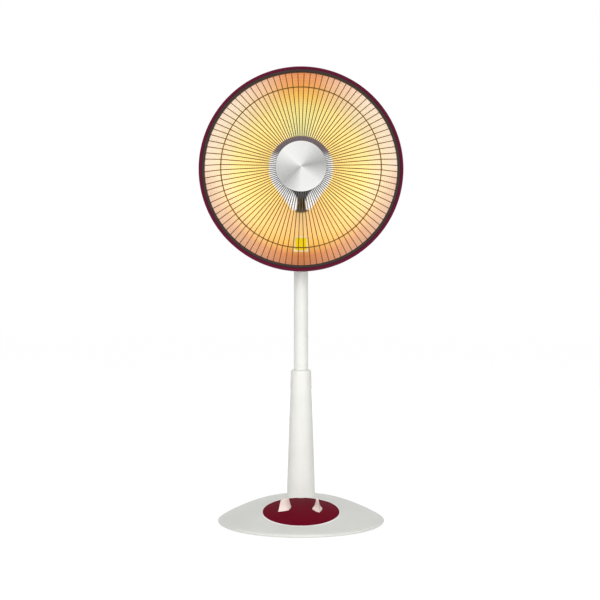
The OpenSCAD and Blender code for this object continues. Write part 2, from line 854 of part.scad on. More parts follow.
module rocker_arm() {
  color("gold") at_pole(rocker_low) {
    difference() {
      union() {
        cylinder(r = spindle_r + 3.5, h = rocker_t);
        translate([0, -4, 0]) cube([rocker_r, 8, rocker_t]);
        translate([rocker_r, 0, 0]) cylinder(r = 4.5, h = rocker_t);
      }
      translate([0, 0, -cut]) cylinder(r = spindle_r + grip, h = rocker_t + 2 * cut);
    }
    translate([rocker_r, 0, 0]) cylinder(r = pin_r, h = pin_top - rocker_low);
  }
}

module yoke_screw_places() {
  for (a = [90:120:330]) rotate([0, 0, a]) translate([yoke_screw_r, 0, 0]) children();
}

module yoke() {
  ear_h = tilt_z - yoke_low;
  color("dimgray") difference() {
    union() {
      at_pole(yoke_low) intersection() {
        cylinder(r = ear_in + ear_t + 3, h = yoke_floor_t);
        translate([-ear_in - ear_t, -yoke_gap, 0]) cube([2 * (ear_in + ear_t), 2 * yoke_gap, yoke_floor_t]);
      }
      for (side = [-1, 1]) at_pole() translate([side * (ear_in + ear_t / 2), 0, 0]) {
        translate([-ear_t / 2, -ear_r, yoke_low]) cube([ear_t, 2 * ear_r, ear_h]);
        translate([0, 0, tilt_z]) rod_x(ear_r, -ear_t / 2, ear_t / 2);
      }
    }
    at_pole(tilt_z) rod_x(tilt_bolt_d / 2 + run, -yoke_gap, yoke_gap);
    at_pole(yoke_low - cut) {
      cylinder(r = wire_hole_r, h = 10);
      yoke_screw_places() cylinder(r = yoke_hole_r + fit, h = 10);
    }
  }
}

module yoke_screws() {
  color("silver") at_pole() yoke_screw_places() {
    translate([0, 0, yoke_low + yoke_floor_t]) cylinder(r = yoke_hole_r + 1.5, h = 2.2);
    translate([0, 0, flange_low]) cylinder(r = yoke_hole_r, h = flange_t + yoke_floor_t + fit);
  }
}

module tilt_bolt() {
  end = ear_in + ear_t;
  color("silver") at_pole(tilt_z) {
    rod_x(tilt_bolt_d / 2, -end, end + nut_t + 1);
    rotate([0, -90, 0]) translate([0, 0, end]) cylinder(r = hex_r, h = bolt_head_t, $fn = 6);
  }
}

module tilt_nut() {
  color("silver") at_pole(tilt_z) difference() {
    rotate([0, 90, 0]) translate([0, 0, ear_in + ear_t])
      cylinder(r = hex_r, h = nut_t, $fn = 6);
    rod_x(tilt_bolt_d / 2 + grip, 0, 2 * yoke_gap);
  }
}

module tilt_block() {
  color("dimgray") difference() {
    union() {
      translate([-block_w / 2, block_seat, tilt_z - block_foot_h / 2])
        cube([block_w, block_foot_t, block_foot_h]);
      translate([-block_w / 2, block_seat, tilt_z - lug_r])
        cube([block_w, pole_back - block_seat, 2 * lug_r]);
      at_pole(tilt_z) rod_x(lug_r, -block_w / 2, block_w / 2);
    }
    at_pole(tilt_z) rod_x(tilt_bolt_d / 2 + run, -yoke_gap, yoke_gap);
    block_screw_places() rod_y(block_screw_r + fit, block_seat - cut, block_seat + 20);
  }
}

module block_screw_places() {
  for (up = [-1, 1]) for (side = [-1, 1])
    translate([side * block_w / 4, 0, tilt_z + up * (lug_r + 4)]) children();
}

module block_screws() {
  color("silver") block_screw_places() {
    rod_y(block_screw_r + 1.4, block_seat + block_foot_t, block_seat + block_foot_t + 2.2);
    rod_y(block_screw_r, block_seat - 7, block_seat + block_foot_t + fit);
  }
}

module back_shell() {
  edge_steps = 20;
  pad_depth = 12;
  slot_low = 118;
  slot_high = 168;
  color("maroon") difference() {
    union() {
      at_head() rotate_extrude() polygon(concat(
        [for (r = steps(0, shell_edge_r, edge_steps)) [r, shell_f(r)]],
        [[shell_edge_r, ring_back_f - fit], [shell_rim_r, ring_back_f - fit], [shell_rim_r, shell_front_f],
          [shell_rim_r - shell_wall, shell_front_f]],
        [for (r = steps(shell_rim_r - shell_wall, 0, edge_steps)) [r, shell_f(r) + shell_wall]]));
      difference() {
        translate([-block_w / 2, block_seat - pad_depth, tilt_z - block_foot_h / 2])
          cube([block_w, pad_depth, block_foot_h]);
        at_head() rotate_extrude() polygon(concat(
          [for (r = steps(0, shell_rim_r, edge_steps)) [r, shell_f(r) + shell_wall]],
          [[shell_rim_r, face_fwd], [0, face_fwd]]));
      }
    }
    at_head() for (i = [0:vent_count - 1]) rotate([0, 0, 90 + (i + 0.5) * 360 / vent_count])
      translate([slot_low, -vent_w / 2, -shell_depth])
        cube([slot_high - slot_low, vent_w, shell_depth + ring_back_f]);
    block_screw_places() rod_y(block_screw_r + run, 0, block_seat + cut);
    at_head() ring_screw_places() translate([0, 0, -ring_depth])
      cylinder(r = ring_screw_r + run, h = 2 * ring_depth);
    translate([0, 0, head_z - tilt_drop / 3]) rod_y(wire_hole_r, 0, ring_r);
  }
}

// Frame of each ring screw: +Z runs outward through the ring's side wall
module ring_screw_places() {
  for (a = [45:90:315]) rotate([0, 0, a])
    translate([shell_rim_r, 0, (ring_back_f + face_fwd) / 2]) rotate([0, 90, 0]) children();
}

module ring_screws() {
  color("silver") at_head() ring_screw_places() {
    translate([0, 0, -shell_wall - 1]) cylinder(r = ring_screw_r, h = shell_wall + 1 + ring_wall + fit);
    translate([0, 0, ring_wall - ring_head_t]) cylinder(r = ring_head_r, h = ring_head_t);
  }
}

module heat_shield() {
  inner_r = 32;
  outer_r = 120;
  n = 12;
  back = shield_gap + sheet_t;
  color("silver") difference() {
    at_head() rotate_extrude() polygon(concat(
      [for (r = steps(inner_r, outer_r, n)) [r, bowl_f(r) - back]],
      [for (r = steps(outer_r, inner_r, n)) [r, bowl_f(r) - back - sheet_t]]));
    at_head() post_spots() translate([0, 0, -bowl_depth]) cylinder(r = post_d / 2 + fit, h = bowl_depth);
    at_head() cutout_spot() cylinder(r = cutout_d / 2 + 2, h = bowl_depth, center = true);
    block_screw_places() rod_y(5, 0, block_seat);
  }
}

module post_spots() {
  for (p = post_places) translate([p.x, p.y, 0]) children();
}

// Frame of the thermal cut-out on the back of the reflector
module cutout_spot() {
  translate([-cutout_r, 0, bowl_f(cutout_r)]) rotate([0, atan(2 * bowl_depth * cutout_r / pow(bowl_r, 2)), 0])
    rotate([0, 180, 0]) children();
}

module reflector() {
  n = 28;
  lead_hole_r = 9;
  color("orange") difference() {
    at_head() rotate_extrude() polygon(concat(
      [for (r = steps(lead_hole_r, bowl_r, n)) [r, bowl_f(r)]],
      [[shell_rim_r - 0.5, bowl_front_f], [shell_rim_r - 0.5, bowl_front_f - sheet_t]],
      [for (r = steps(bowl_r, lead_hole_r, n)) [r, bowl_f(r) - sheet_t]]));
    at_head() post_spots() translate([0, 0, -bowl_depth]) cylinder(r = post_d / 2 + fit, h = 2 * bowl_depth);
    at_head() bracket_feet() translate([0, 0, -bowl_depth]) cylinder(r = bracket_pin_r + fit, h = bowl_depth);
  }
}

module front_ring() {
  corner = 3;
  inner = ring_r - ring_wall;
  color("maroon") difference() {
    at_head() rotate_extrude() polygon(concat(
      [[inner, ring_back_f], [ring_r, ring_back_f]],
      [for (a = steps(0, 90, 6)) [ring_r - corner * (1 - cos(a)), face_fwd - corner * (1 - sin(a))]],
      [[rim_out_r + 0.6, face_fwd], [rim_out_r, face_fwd - 0.6], [rim_out_r, lip_back_f],
        [inner, lip_back_f]]));
    at_head() ring_screw_places() {
      cylinder(r = ring_screw_r + run, h = 20);
      translate([0, 0, ring_wall - ring_head_t - fit]) cylinder(r = ring_head_r + fit, h = 20);
    }
  }
}

module guard_rim() {
  flange_out = ring_r - ring_wall - 0.5;
  front_in = face_fwd + 3;
  color("dimgray") at_head() rotate_extrude() polygon([
    [rim_in_r, rim_back_f], [flange_out, rim_back_f], [flange_out, rim_front_f],
    [rim_out_r - fit, rim_front_f], [rim_out_r - fit, face_fwd + 0.4], [rim_in_r + 1, front_in], [rim_in_r, front_in - 0.5]]);
}

// One ring of corners of the wire about the corner p of its route, given as radius and f
function wire_ring(p) = [for (i = [0:wire_sides - 1])
  [p.x, wire_r * sin(i * 360 / wire_sides), p.y + wire_r * cos(i * 360 / wire_sides)]];

module guard_wire() {
  last = len(wire_route) - 1;
  points = [for (p = wire_route) each wire_ring(p)];
  sides = [for (k = [0:last - 1]) for (i = [0:wire_sides - 1])
    let (j = (i + 1) % wire_sides, a = k * wire_sides, b = a + wire_sides)
      each [[a + i, a + j, b + j], [a + i, b + j, b + i]]];
  first_cap = [for (i = [wire_sides - 1:-1:0]) i];
  last_cap = [for (i = [0:wire_sides - 1]) last * wire_sides + i];
  polyhedron(points, concat(sides, [first_cap, last_cap]));
}

// A closed ring of six-sided wire, in short straight lengths that meet between the radial wires
module wire_ring_solid(radius, r, f) {
  sides = 6;
  n = wire_count;
  points = [for (k = [0:n - 1]) for (i = [0:sides - 1])
    let (out = radius + r * cos(i * 360 / sides), a = k * 360 / n)
      [out * cos(a), out * sin(a), f + r * sin(i * 360 / sides)]];
  faces = [for (k = [0:n - 1]) for (i = [0:sides - 1])
    let (j = (i + 1) % sides, p = k * sides, q = ((k + 1) % n) * sides)
      each [[p + i, p + j, q + j], [p + i, q + j, q + i]]];
  polyhedron(points, faces);
}

module wire_guard() {
  hoop_wire_r = hoop_wire_d / 2;
  color("saddlebrown") at_head() {
    for (i = [0:wire_count - 1]) rotate([0, 0, (i + 0.5) * 360 / wire_count]) guard_wire();
    wire_ring_solid(hoop_r, hoop_wire_r, face_fwd + hoop_fwd - wire_r - hoop_wire_r + 0.5);
  }
}

module guard_hub() {
  color("dimgray") at_head() difference() {
    translate([0, 0, hub_front_f - hub_t]) cylinder(r = hub_r, h = hub_t);
    translate([0, 0, hub_front_f - hub_t - cut]) cylinder(r = hub_hole_r, h = 10);
  }
}

module centre_badge() {
  edge = 1.2;
  edge_w = 3;
  stem_r = hub_hole_r - fit;
  stem_wall = 2;
  front_f = badge_back_f + badge_t;
  color("silver") at_head() {
    rotate_extrude() polygon([
      [0, badge_back_f], [badge_r, badge_back_f], [badge_r, front_f - edge],
      [badge_r - edge, front_f - edge / 4], [badge_r - edge_w, front_f], [0, front_f]]);
    pipe(stem_r, stem_r - stem_wall, hub_front_f - hub_t, badge_back_f);
  }
}

// Cowl outline pressed to a flat front, drawn in by inset
module cowl_form(inset) {
  hull() for (step = [[0, -0.01], [0, 0.36], [2, 0.64], [6, 0.88], [12, 1]]) {
    depth = step[1] > 0 ? step[1] * cowl_depth - inset : -inset;
    for (spot = [[0, cowl_r], [-cowl_tail_drop, cowl_tail_r]])
      translate([0, spot[0], cowl_fwd + depth - 0.05])
        cylinder(r = spot[1] - step[0] - inset, h = 0.05, $fn = hull_fn);
  }
}

module lamp_cowl() {
  color("silver") at_head() difference() {
    cowl_form(0);
    cowl_form(sheet_t);
    translate([-ring_r, -ring_r, cowl_fwd - cut]) cube([ring_d, ring_d, cut]);
  }
}

module cowl_posts() {
  color("silver") at_head() post_spots() {
    far = norm(post_places[2]);
    near_f = bowl_f(far - post_d) - shield_gap - 2 * sheet_t;
    translate([0, 0, near_f]) cylinder(r = post_d / 2, h = cowl_front_f - sheet_t - fit - near_f);
  }
}

module bracket_feet() {
  for (y = [-26, 20]) translate([0, y, 0]) children();
}

module lamp_bracket() {
  low = lamp_low - 9;
  high = lamp_high + 9;
  foot_f = bowl_f(26);
  color("silver") at_head() difference() {
    union() {
      translate([-bracket_w / 2, low - strip_t, strip_f])
        cube([bracket_w, high - low + 2 * strip_t, strip_t]);
      for (y = [low - strip_t, high])
        translate([-bracket_w / 2, y, strip_f])
          cube([bracket_w, strip_t, lamp_f + cap_d / 2 + strip_t - strip_f]);
      bracket_feet() translate([0, 0, foot_f + 0.7])
        cylinder(r = 2 * bracket_pin_r, h = strip_f - foot_f - 0.6);
      bracket_feet() translate([0, 0, foot_f - 4]) cylinder(r = bracket_pin_r, h = 8);
    }
    translate([0, 0, lamp_f]) rod_y(cap_d / 2 + fit, low - 10, high + 10);
  }
}

module lamp_caps() {
  color("white") at_head() translate([0, 0, lamp_f]) difference() {
    union() {
      rod_y(cap_d / 2, lamp_low - cap_len, lamp_low);
      rod_y(cap_d / 2, lamp_high, lamp_high + cap_len);
    }
    rod_y(lamp_d / 2 + run, lamp_low - cap_bore, lamp_high + cap_bore);
  }
}

module lamp_tube() {
  wall = 1;
  color("lightyellow") at_head() translate([0, 0, lamp_f]) difference() {
    rod_y(lamp_d / 2, lamp_low - cap_bore + fit, lamp_high + cap_bore - fit);
    rod_y(lamp_d / 2 - wall, lamp_low - cap_bore - cut, lamp_high + cap_bore + cut);
  }
}

module lamp_filament() {
  color("orangered") at_head() translate([0, 0, lamp_f]) {
    rod_y(1.6, lamp_low, lamp_high);
    rod_y(0.6, lamp_low - cap_bore + fit, lamp_high + cap_bore - fit);
  }
}

module thermal_cutout() {
  color("black") at_head() cutout_spot() translate([0, 0, sheet_t + 0.1]) {
    cylinder(r = cutout_d / 2, h = 2.4);
    cylinder(r = cutout_d / 2 - 3, h = 4);
  }
}

module blank_tag() {
  n = 8;
  lift = 0.15;
  tag_t = 0.5;
  near_r = tag_drop - tag_h / 2 - 2;
  far_r = tag_drop + tag_h / 2 + 6;
  color("yellow") at_head() intersection() {
    rotate_extrude() polygon(concat(
      [for (r = steps(near_r, far_r, n)) [r, bowl_f(r) + lift]],
      [for (r = steps(far_r, near_r, n)) [r, bowl_f(r) + lift + tag_t]]));
    translate([-tag_w / 2, -tag_drop - tag_h / 2, -bowl_depth]) cube([tag_w, tag_h, 2 * bowl_depth]);
  }
}

base_shell();
base_plate();
base_weight();
rubber_feet();
base_screws();
control_panel();
timer_unit();
timer_shaft();
timer_knob();
power_switch();
power_shaft();
power_knob();
tip_switch();
tip_spring();
tip_plunger();
terminal_block();
cord_gland();
column();
column_screws();
guide_bush();
clamp_nut();
clamp_pad();
clamp_screw();
clamp_knob();
upper_tube();
tube_bush();
neck_housing();
neck_cover();
neck_screws();
swing_motor();
motor_shaft();
swing_crank();
crank_link();
spindle_bush();
swing_spindle();
rocker_arm();
yoke();
yoke_screws();
tilt_bolt();
tilt_nut();
tilt_block();
block_screws();
back_shell();
heat_shield();
reflector();
front_ring();
ring_screws();
guard_rim();
wire_guard();
guard_hub();
centre_badge();
lamp_cowl();
cowl_posts();
lamp_bracket();
lamp_caps();
lamp_tube();
lamp_filament();
thermal_cutout();
blank_tag();
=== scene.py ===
import math

import bmesh
import bpy
from mathutils import Matrix, Vector


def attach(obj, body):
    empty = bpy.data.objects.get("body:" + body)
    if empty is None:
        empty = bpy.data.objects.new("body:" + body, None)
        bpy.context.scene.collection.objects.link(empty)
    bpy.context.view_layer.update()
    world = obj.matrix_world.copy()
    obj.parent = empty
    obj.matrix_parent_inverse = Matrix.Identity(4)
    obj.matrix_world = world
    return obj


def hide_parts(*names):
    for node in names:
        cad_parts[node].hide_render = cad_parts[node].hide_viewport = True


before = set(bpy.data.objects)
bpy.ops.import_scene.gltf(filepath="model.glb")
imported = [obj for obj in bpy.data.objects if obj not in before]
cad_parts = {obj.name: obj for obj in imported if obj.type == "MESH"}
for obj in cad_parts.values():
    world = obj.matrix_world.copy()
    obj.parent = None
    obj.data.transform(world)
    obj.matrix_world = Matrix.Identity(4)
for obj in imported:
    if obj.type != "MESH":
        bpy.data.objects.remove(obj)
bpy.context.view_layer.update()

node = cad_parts

# Camera.
# Level view from the front, just below the middle of the heater, through a
# short telephoto lens.
camera = bpy.data.objects.new("camera", bpy.data.cameras.new("camera"))
camera.data.sensor_width = 36
camera.data.lens = 68.1
camera.data.clip_end = 60
camera.location = (-0.002, -2.26, 0.441)
camera.rotation_euler = (math.radians(90), 0, 0)
bpy.context.collection.objects.link(camera)
bpy.context.scene.camera = camera

# Studio.
# Soft lamps round the heater, of which glossy surfaces show only the top one,
# a pale room, and a floor that looks white and keeps the shadow.
bpy.context.scene.view_settings.view_transform = "Standard"


def soft_box(name, place, aim, width, height, watts, mirrored=True):
    """A rectangular lamp turned to a point. Unless mirrored, glossy surfaces don't show it."""
    lamp = bpy.data.objects.new(name, bpy.data.lights.new(name, "AREA"))
    lamp.data.shape = "RECTANGLE"
    lamp.data.size = width
    lamp.data.size_y = height
    lamp.data.energy = watts
    lamp.location = place
    lamp.rotation_euler = (Vector(aim) - Vector(place)).to_track_quat("-Z", "Y").to_euler()
    lamp.visible_glossy = mirrored
    bpy.context.collection.objects.link(lamp)


soft_box("key_light", (-0.9, -2.8, 0.95), (0, 0, 0.4), 2.6, 1.5, 46, mirrored=False)
soft_box("fill_light", (1.4, -2.7, 0.75), (0, 0, 0.4), 2.6, 1.3, 34, mirrored=False)
soft_box("top_light", (-0.2, 1.2, 2.7), (0, 0, 0.4), 1.6, 1.6, 8)
soft_box("rear_light", (0, 3.4, 0.5), (0, 0, 0.5), 2.4, 0.8, 32, mirrored=False)


def seen_rays(nodes, links):
    """1 for rays that come from the camera, a glossy surface or glass, else 0."""
    path = nodes.new("ShaderNodeLightPath")
    direct = nodes.new("ShaderNodeMath")
    direct.operation = "MAXIMUM"
    links.new(path.outputs["Is Camera Ray"], direct.inputs[0])
    links.new(path.outputs["Is Glossy Ray"], direct.inputs[1])
    seen = nodes.new("ShaderNodeMath")
    seen.operation = "MAXIMUM"
    links.new(direct.outputs[0], seen.inputs[0])
    links.new(path.outputs["Is Transmission Ray"], seen.inputs[1])
    return seen.outputs[0]


room = bpy.data.worlds.new("room")
bpy.context.scene.world = room
room.use_nodes = True
nodes, links = room.node_tree.nodes, room.node_tree.links
ambient = nodes["Background"]
ambient.inputs["Color"].default_value = (1, 1, 1, 1)
ambient.inputs["Strength"].default_value = 0.36
backdrop = nodes.new("ShaderNodeBackground")
backdrop.inputs["Color"].default_value = (1, 1, 1, 1)
backdrop.inputs["Strength"].default_value = 1
either = nodes.new("ShaderNodeMixShader")
links.new(seen_rays(nodes, links), either.inputs[0])
links.new(ambient.outputs[0], either.inputs[1])
links.new(backdrop.outputs[0], either.inputs[2])
links.new(either.outputs[0], nodes["World Output"].inputs["Surface"])


def parts_of(finish):
    """The nodes, the links and the shader of a material."""
    tree = finish.node_tree
    return tree.nodes, tree.links, tree.nodes["Principled BSDF"]


def new_finish(name):
    """A new material with its nodes, its links and its shader."""
    finish = bpy.data.materials.new(name)
    finish.use_nodes = True
    return finish, *parts_of(finish)


floor_reach = 12
bm = bmesh.new()
bmesh.ops.create_grid(bm, x_segments=1, y_segments=1, size=floor_reach)
floor = bpy.data.objects.new("floor", bpy.data.meshes.new("floor"))
bm.to_mesh(floor.data)
bm.free()
bpy.context.collection.objects.link(floor)
paper, nodes, links, matte = new_finish("white_paper")
matte.inputs["Base Color"].default_value = (0.86, 0.86, 0.86, 1)
matte.inputs["Roughness"].default_value = 0.9
matte.inputs["Specular IOR Level"].default_value = 0.1
glow = nodes.new("ShaderNodeEmission")
glow.inputs["Color"].default_value = (1, 1, 1, 1)
glow.inputs["Strength"].default_value = 1.25
whiten = nodes.new("ShaderNodeMixShader")
share = nodes.new("ShaderNodeMath")
share.operation = "MULTIPLY"
share.inputs[1].default_value = 0.72
links.new(seen_rays(nodes, links), share.inputs[0])
links.new(share.outputs[0], whiten.inputs[0])
links.new(matte.outputs[0], whiten.inputs[1])
links.new(glow.outputs[0], whiten.inputs[2])
links.new(whiten.outputs[0], nodes["Material Output"].inputs["Surface"])
floor.data.materials.append(paper)

# Bottom cover, weight and feet.
# A dark moulded plate closes the base from below. A sheet steel weight lies
# on it, six screws hold it, and rubber feet are pushed through it.


def tint(red, green, blue):
    """Linear colour of an sRGB colour given as 0 to 255."""
    return tuple(((c / 255 + 0.055) / 1.055) ** 2.4 if c > 10 else c / 3294.6
                 for c in (red, green, blue)) + (1,)


def toned(colour, factor):
    """The same colour, darker or lighter by a factor."""
    return tuple(min(1, c * factor) for c in colour[:3]) + (1,)


def moulded(name, colour, roughness, grain=1500, depth=0.12, shine=0.4):
    """Moulded plastic: faint tone drift, uneven sheen and a fine pebbled skin."""
    finish, nodes, links, skin = new_finish(name)
    skin.inputs["Specular IOR Level"].default_value = shine
    place = nodes.new("ShaderNodeTexCoord").outputs["Object"]
    drift = nodes.new("ShaderNodeTexNoise")
    drift.inputs["Scale"].default_value = 11
    drift.inputs["Detail"].default_value = 3
    links.new(place, drift.inputs["Vector"])
    tones = nodes.new("ShaderNodeValToRGB")
    tones.color_ramp.elements[0].position = 0.3
    tones.color_ramp.elements[0].color = toned(colour, 0.95)
    tones.color_ramp.elements[1].position = 0.7
    tones.color_ramp.elements[1].color = toned(colour, 1.03)
    links.new(drift.outputs["Fac"], tones.inputs["Fac"])
    links.new(tones.outputs["Color"], skin.inputs["Base Color"])
    pebble = nodes.new("ShaderNodeTexNoise")
    pebble.inputs["Scale"].default_value = grain
    pebble.inputs["Detail"].default_value = 2
    links.new(place, pebble.inputs["Vector"])
    raised = nodes.new("ShaderNodeBump")
    raised.inputs["Strength"].default_value = depth
    raised.inputs["Distance"].default_value = 0.0002
    links.new(pebble.outputs["Fac"], raised.inputs["Height"])
    links.new(raised.outputs["Normal"], skin.inputs["Normal"])
    sheen = nodes.new("ShaderNodeMapRange")
    sheen.inputs["To Min"].default_value = roughness - 0.04
    sheen.inputs["To Max"].default_value = roughness + 0.06
    links.new(drift.outputs["Fac"], sheen.inputs["Value"])
    links.new(sheen.outputs["Result"], skin.inputs["Roughness"])
    return finish


def metal(name, colour, roughness, stretch=(1, 1, 1), grain=600):
    """Bare metal: fine tool lines along one axis, with streaks in tone and sheen."""
    finish, nodes, links, skin = new_finish(name)
    skin.inputs["Metallic"].default_value = 1
    place = nodes.new("ShaderNodeTexCoord").outputs["Object"]
    along = nodes.new("ShaderNodeMapping")
    along.inputs["Scale"].default_value = stretch
    links.new(place, along.inputs["Vector"])
    lines = nodes.new("ShaderNodeTexNoise")
    lines.inputs["Scale"].default_value = grain
    lines.inputs["Detail"].default_value = 3
    links.new(along.outputs["Vector"], lines.inputs["Vector"])
    tones = nodes.new("ShaderNodeValToRGB")
    tones.color_ramp.elements[0].position = 0.25
    tones.color_ramp.elements[0].color = toned(colour, 0.82)
    tones.color_ramp.elements[1].position = 0.75
    tones.color_ramp.elements[1].color = toned(colour, 1.05)
    links.new(lines.outputs["Fac"], tones.inputs["Fac"])
    links.new(tones.outputs["Color"], skin.inputs["Base Color"])
    sheen = nodes.new("ShaderNodeMapRange")
    sheen.inputs["To Min"].default_value = max(0.03, roughness - 0.08)
    sheen.inputs["To Max"].default_value = roughness + 0.1
    links.new(lines.outputs["Fac"], sheen.inputs["Value"])
    links.new(sheen.outputs["Result"], skin.inputs["Roughness"])
    raised = nodes.new("ShaderNodeBump")
    raised.inputs["Strength"].default_value = 0.15
    raised.inputs["Distance"].default_value = 0.0002
    links.new(lines.outputs["Fac"], raised.inputs["Height"])
    links.new(raised.outputs["Normal"], skin.inputs["Normal"])
    return finish


def dress(names, finish):
    """Gives CAD nodes a finish and leaves their meshes as they are."""
    for name in names:
        node[name].data.materials.clear()
        node[name].data.materials.append(finish)


dark_plastic = moulded("dark_plastic", tint(52, 52, 54), 0.5)
zinc = metal("zinc_plate", tint(190, 192, 196), 0.3)
black_rubber = moulded("black_rubber", tint(30, 30, 31), 0.75, grain=700, depth=0.4)
dress(["base_plate"], dark_plastic)
dress(["base_weight"], metal("mill_steel", tint(105, 108, 112), 0.5, (1, 12, 1), 90))
dress(["rubber_feet", "cord_gland"], black_rubber)
dress(["base_screws", "column_screws"], zinc)

# Base shell.
# One satin white moulding: a dome that slopes down to the front, with a round
# seat for the control panel, a rolled rim, and a collar and a hole for the post.
base_radius = 0.165
foot_height = 0.0015
rim_low = 0.005
rim_top = 0.0065
dome_height = 0.0375
dome_rear = 0.082
dome_waist = 0.0337
dome_levels = 24
pole_y = 0.055
pole = (0, pole_y, 0)
bore_radius = 0.0195
slope = math.radians(10.7)
seat_y = -0.048
seat_radius = 0.0751
seat_depth = 0.0012
seat_middle = Vector((0, seat_y, rim_top + (base_radius + seat_y) * math.tan(slope)))
seat_frame = Matrix.Translation(seat_middle) @ Matrix.Rotation(slope, 4, "X")
seat_normal = seat_frame.to_3x3() @ Vector((0, 0, 1))
up = (0, 0, 1)
right = (1, 0, 0)
# Steps of a full turn, and the slack with which places are compared.
around = 144
slack = 1e-5


def turned(bm, outline, centre, axis, side, steps=128):
    """Spins a closed outline of (radius, height) points about an axis into bm."""
    axis, side, centre = Vector(axis), Vector(side), Vector(centre)
    points = [bm.verts.new(centre + side * r + axis * h) for r, h in outline]
    edges = [bm.edges.new(pair) for pair in zip(points, points[1:] + points[:1])]
    bmesh.ops.spin(bm, geom=points + edges, cent=centre, axis=axis, dvec=(0, 0, 0),
                   angle=2 * math.pi, steps=steps, use_merge=True, use_duplicate=False)


def arc(centre_r, centre_h, radius, start, end, count):
    """Points of an arc in an outline, by its angles in degrees."""
    return [(centre_r + radius * math.cos(math.radians(start + (end - start) * i / count)),
             centre_h + radius * math.sin(math.radians(start + (end - start) * i / count)))
            for i in range(count + 1)]


def points_in(geom):
    """The points among pieces of geometry."""
    return [g for g in geom if isinstance(g, bmesh.types.BMVert)]


def grow_edge(bm, edges):
    """Extrudes a row of edges, and returns its new points and the new row."""
    grown = bmesh.ops.extrude_edge_only(bm, edges=edges)["geom"]
    points = points_in(grown)
    return points, [g for g in grown if isinstance(g, bmesh.types.BMEdge)
                    and all(v in points for v in g.verts)]


def piece(name, bm, body, finish, replaced=(), crease=32):
    """Closes a bmesh as an object that rides on a body and stands for CAD nodes."""
    bmesh.ops.remove_doubles(bm, verts=bm.verts[:], dist=1e-6)
    bmesh.ops.recalc_face_normals(bm, faces=bm.faces[:])
    mesh = bpy.data.meshes.new(name)
    bm.to_mesh(mesh)
    bm.free()
    mesh.polygons.foreach_set("use_smooth", [True] * len(mesh.polygons))
    mesh.set_sharp_from_angle(angle=math.radians(crease))
    made = bpy.data.objects.new(name, mesh)
    bpy.context.collection.objects.link(made)
    made.data.materials.append(finish)
    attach(made, body)
    if replaced:
        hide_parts(*replaced)
    return made


base_white = moulded("base_white", tint(230, 231, 225), 0.34, grain=1300, depth=0.1, shine=0.25)
edge_white = moulded("edge_white", tint(247, 241, 240), 0.3, grain=1300, depth=0.05, shine=0.25)

# Height and inset of each turn of the rolled rim, and then the dome over it.
bm = bmesh.new()
for height, inset in ((rim_low, 0), (0.0062, 0.0008), (0.0073, 0.0028), (0.0083, 0.0058),
                      (0.0093, 0.0102), (0.0104, 0.0155), (0.0116, 0.0225), (0.0129, 0.0305)):
    bmesh.ops.create_circle(bm, radius=base_radius - inset, segments=around,
                            matrix=Matrix.Translation((0, 0, height)))
for level in range(1, dome_levels + 1):
    rise = 1 - (1 - level / dome_levels) ** 1.7
    half_width = dome_waist + (base_radius - dome_waist) * (1 - rise) ** 0.62
    front = -base_radius + rise * dome_height / math.tan(slope)
    rear = dome_rear + (base_radius - dome_rear) * (1 - rise) ** 0.7
    ring = bmesh.ops.create_circle(bm, radius=1, segments=around)["verts"]
    bmesh.ops.scale(bm, vec=(half_width, (rear - front) / 2, 1), verts=ring)
    bmesh.ops.translate(bm, vec=(0, (front + rear) / 2, rim_top + rise * dome_height), verts=ring)
bmesh.ops.create_circle(bm, radius=seat_radius, segments=around, matrix=seat_frame)
hull = bmesh.ops.convex_hull(bm, input=bm.verts[:])
bmesh.ops.delete(bm, geom=points_in(hull["geom_interior"] + hull["geom_unused"]), context="VERTS")


def on_seat(point):
    """Tells whether a point lies on the flat of the seat."""
    offset = seat_frame.inverted() @ point
    return abs(offset.z) < 2 * slack and offset.xy.length < seat_radius + 2 * slack


crown = [f for f in bm.faces if all(v.co.z > rim_top + dome_height - slack for v in f.verts)]
bmesh.ops.inset_region(bm, faces=crown, thickness=0.001)
for p in {v for f in crown for v in f.verts}:
    offset = Vector((p.co.x, p.co.y - pole_y)).normalized() * bore_radius
    p.co.xy = (offset.x, offset.y + pole_y)
opened = [f for f in bm.faces if f.calc_center_median().z < rim_low + slack
          or all(on_seat(v.co) for v in f.verts)]
bmesh.ops.delete(bm, geom=crown + opened, context="FACES")
bmesh.ops.delete(bm, geom=[e for e in bm.edges if not e.link_faces], context="EDGES")
bmesh.ops.recalc_face_normals(bm, faces=bm.faces[:])
seat_edge = [e for e in bm.edges if e.is_boundary and all(on_seat(v.co) for v in e.verts)]
rim_edge = [e for e in bm.edges if e.is_boundary and all(v.co.z < rim_low + slack for v in e.verts)]
for height, inset in ((0.0036, 0.0004), (0.0024, 0.0012), (foot_height, 0.0026), (foot_height, 0.004),
                      (0.0035, 0.0042)):
    points, rim_edge = grow_edge(bm, rim_edge)
    for p in points:
        p.co.xy *= (base_radius - inset) / p.co.xy.length
        p.co.z = height
points, seat_edge = grow_edge(bm, seat_edge)
bmesh.ops.translate(bm, vec=-seat_normal * seat_depth, verts=points)
turned(bm, [(0.0286, 0.036), (0.0364, 0.036), (0.0364, 0.0405)] + arc(0.0358, 0.0486, 0.0068, 265, 180, 10)
       + [(0.0287, 0.0492)], pole, up, right)
piece("base_moulding", bm, "stand", base_white, ["base_shell"])
bm = bmesh.new()
turned(bm, [(0.0746, -0.0006)] + arc(0.0759, 0.0001, 0.0012, 180, 0, 8) + [(0.0772, -0.0008)],
       seat_middle, seat_normal, right, around)
piece("seat_bead", bm, "stand", edge_white)

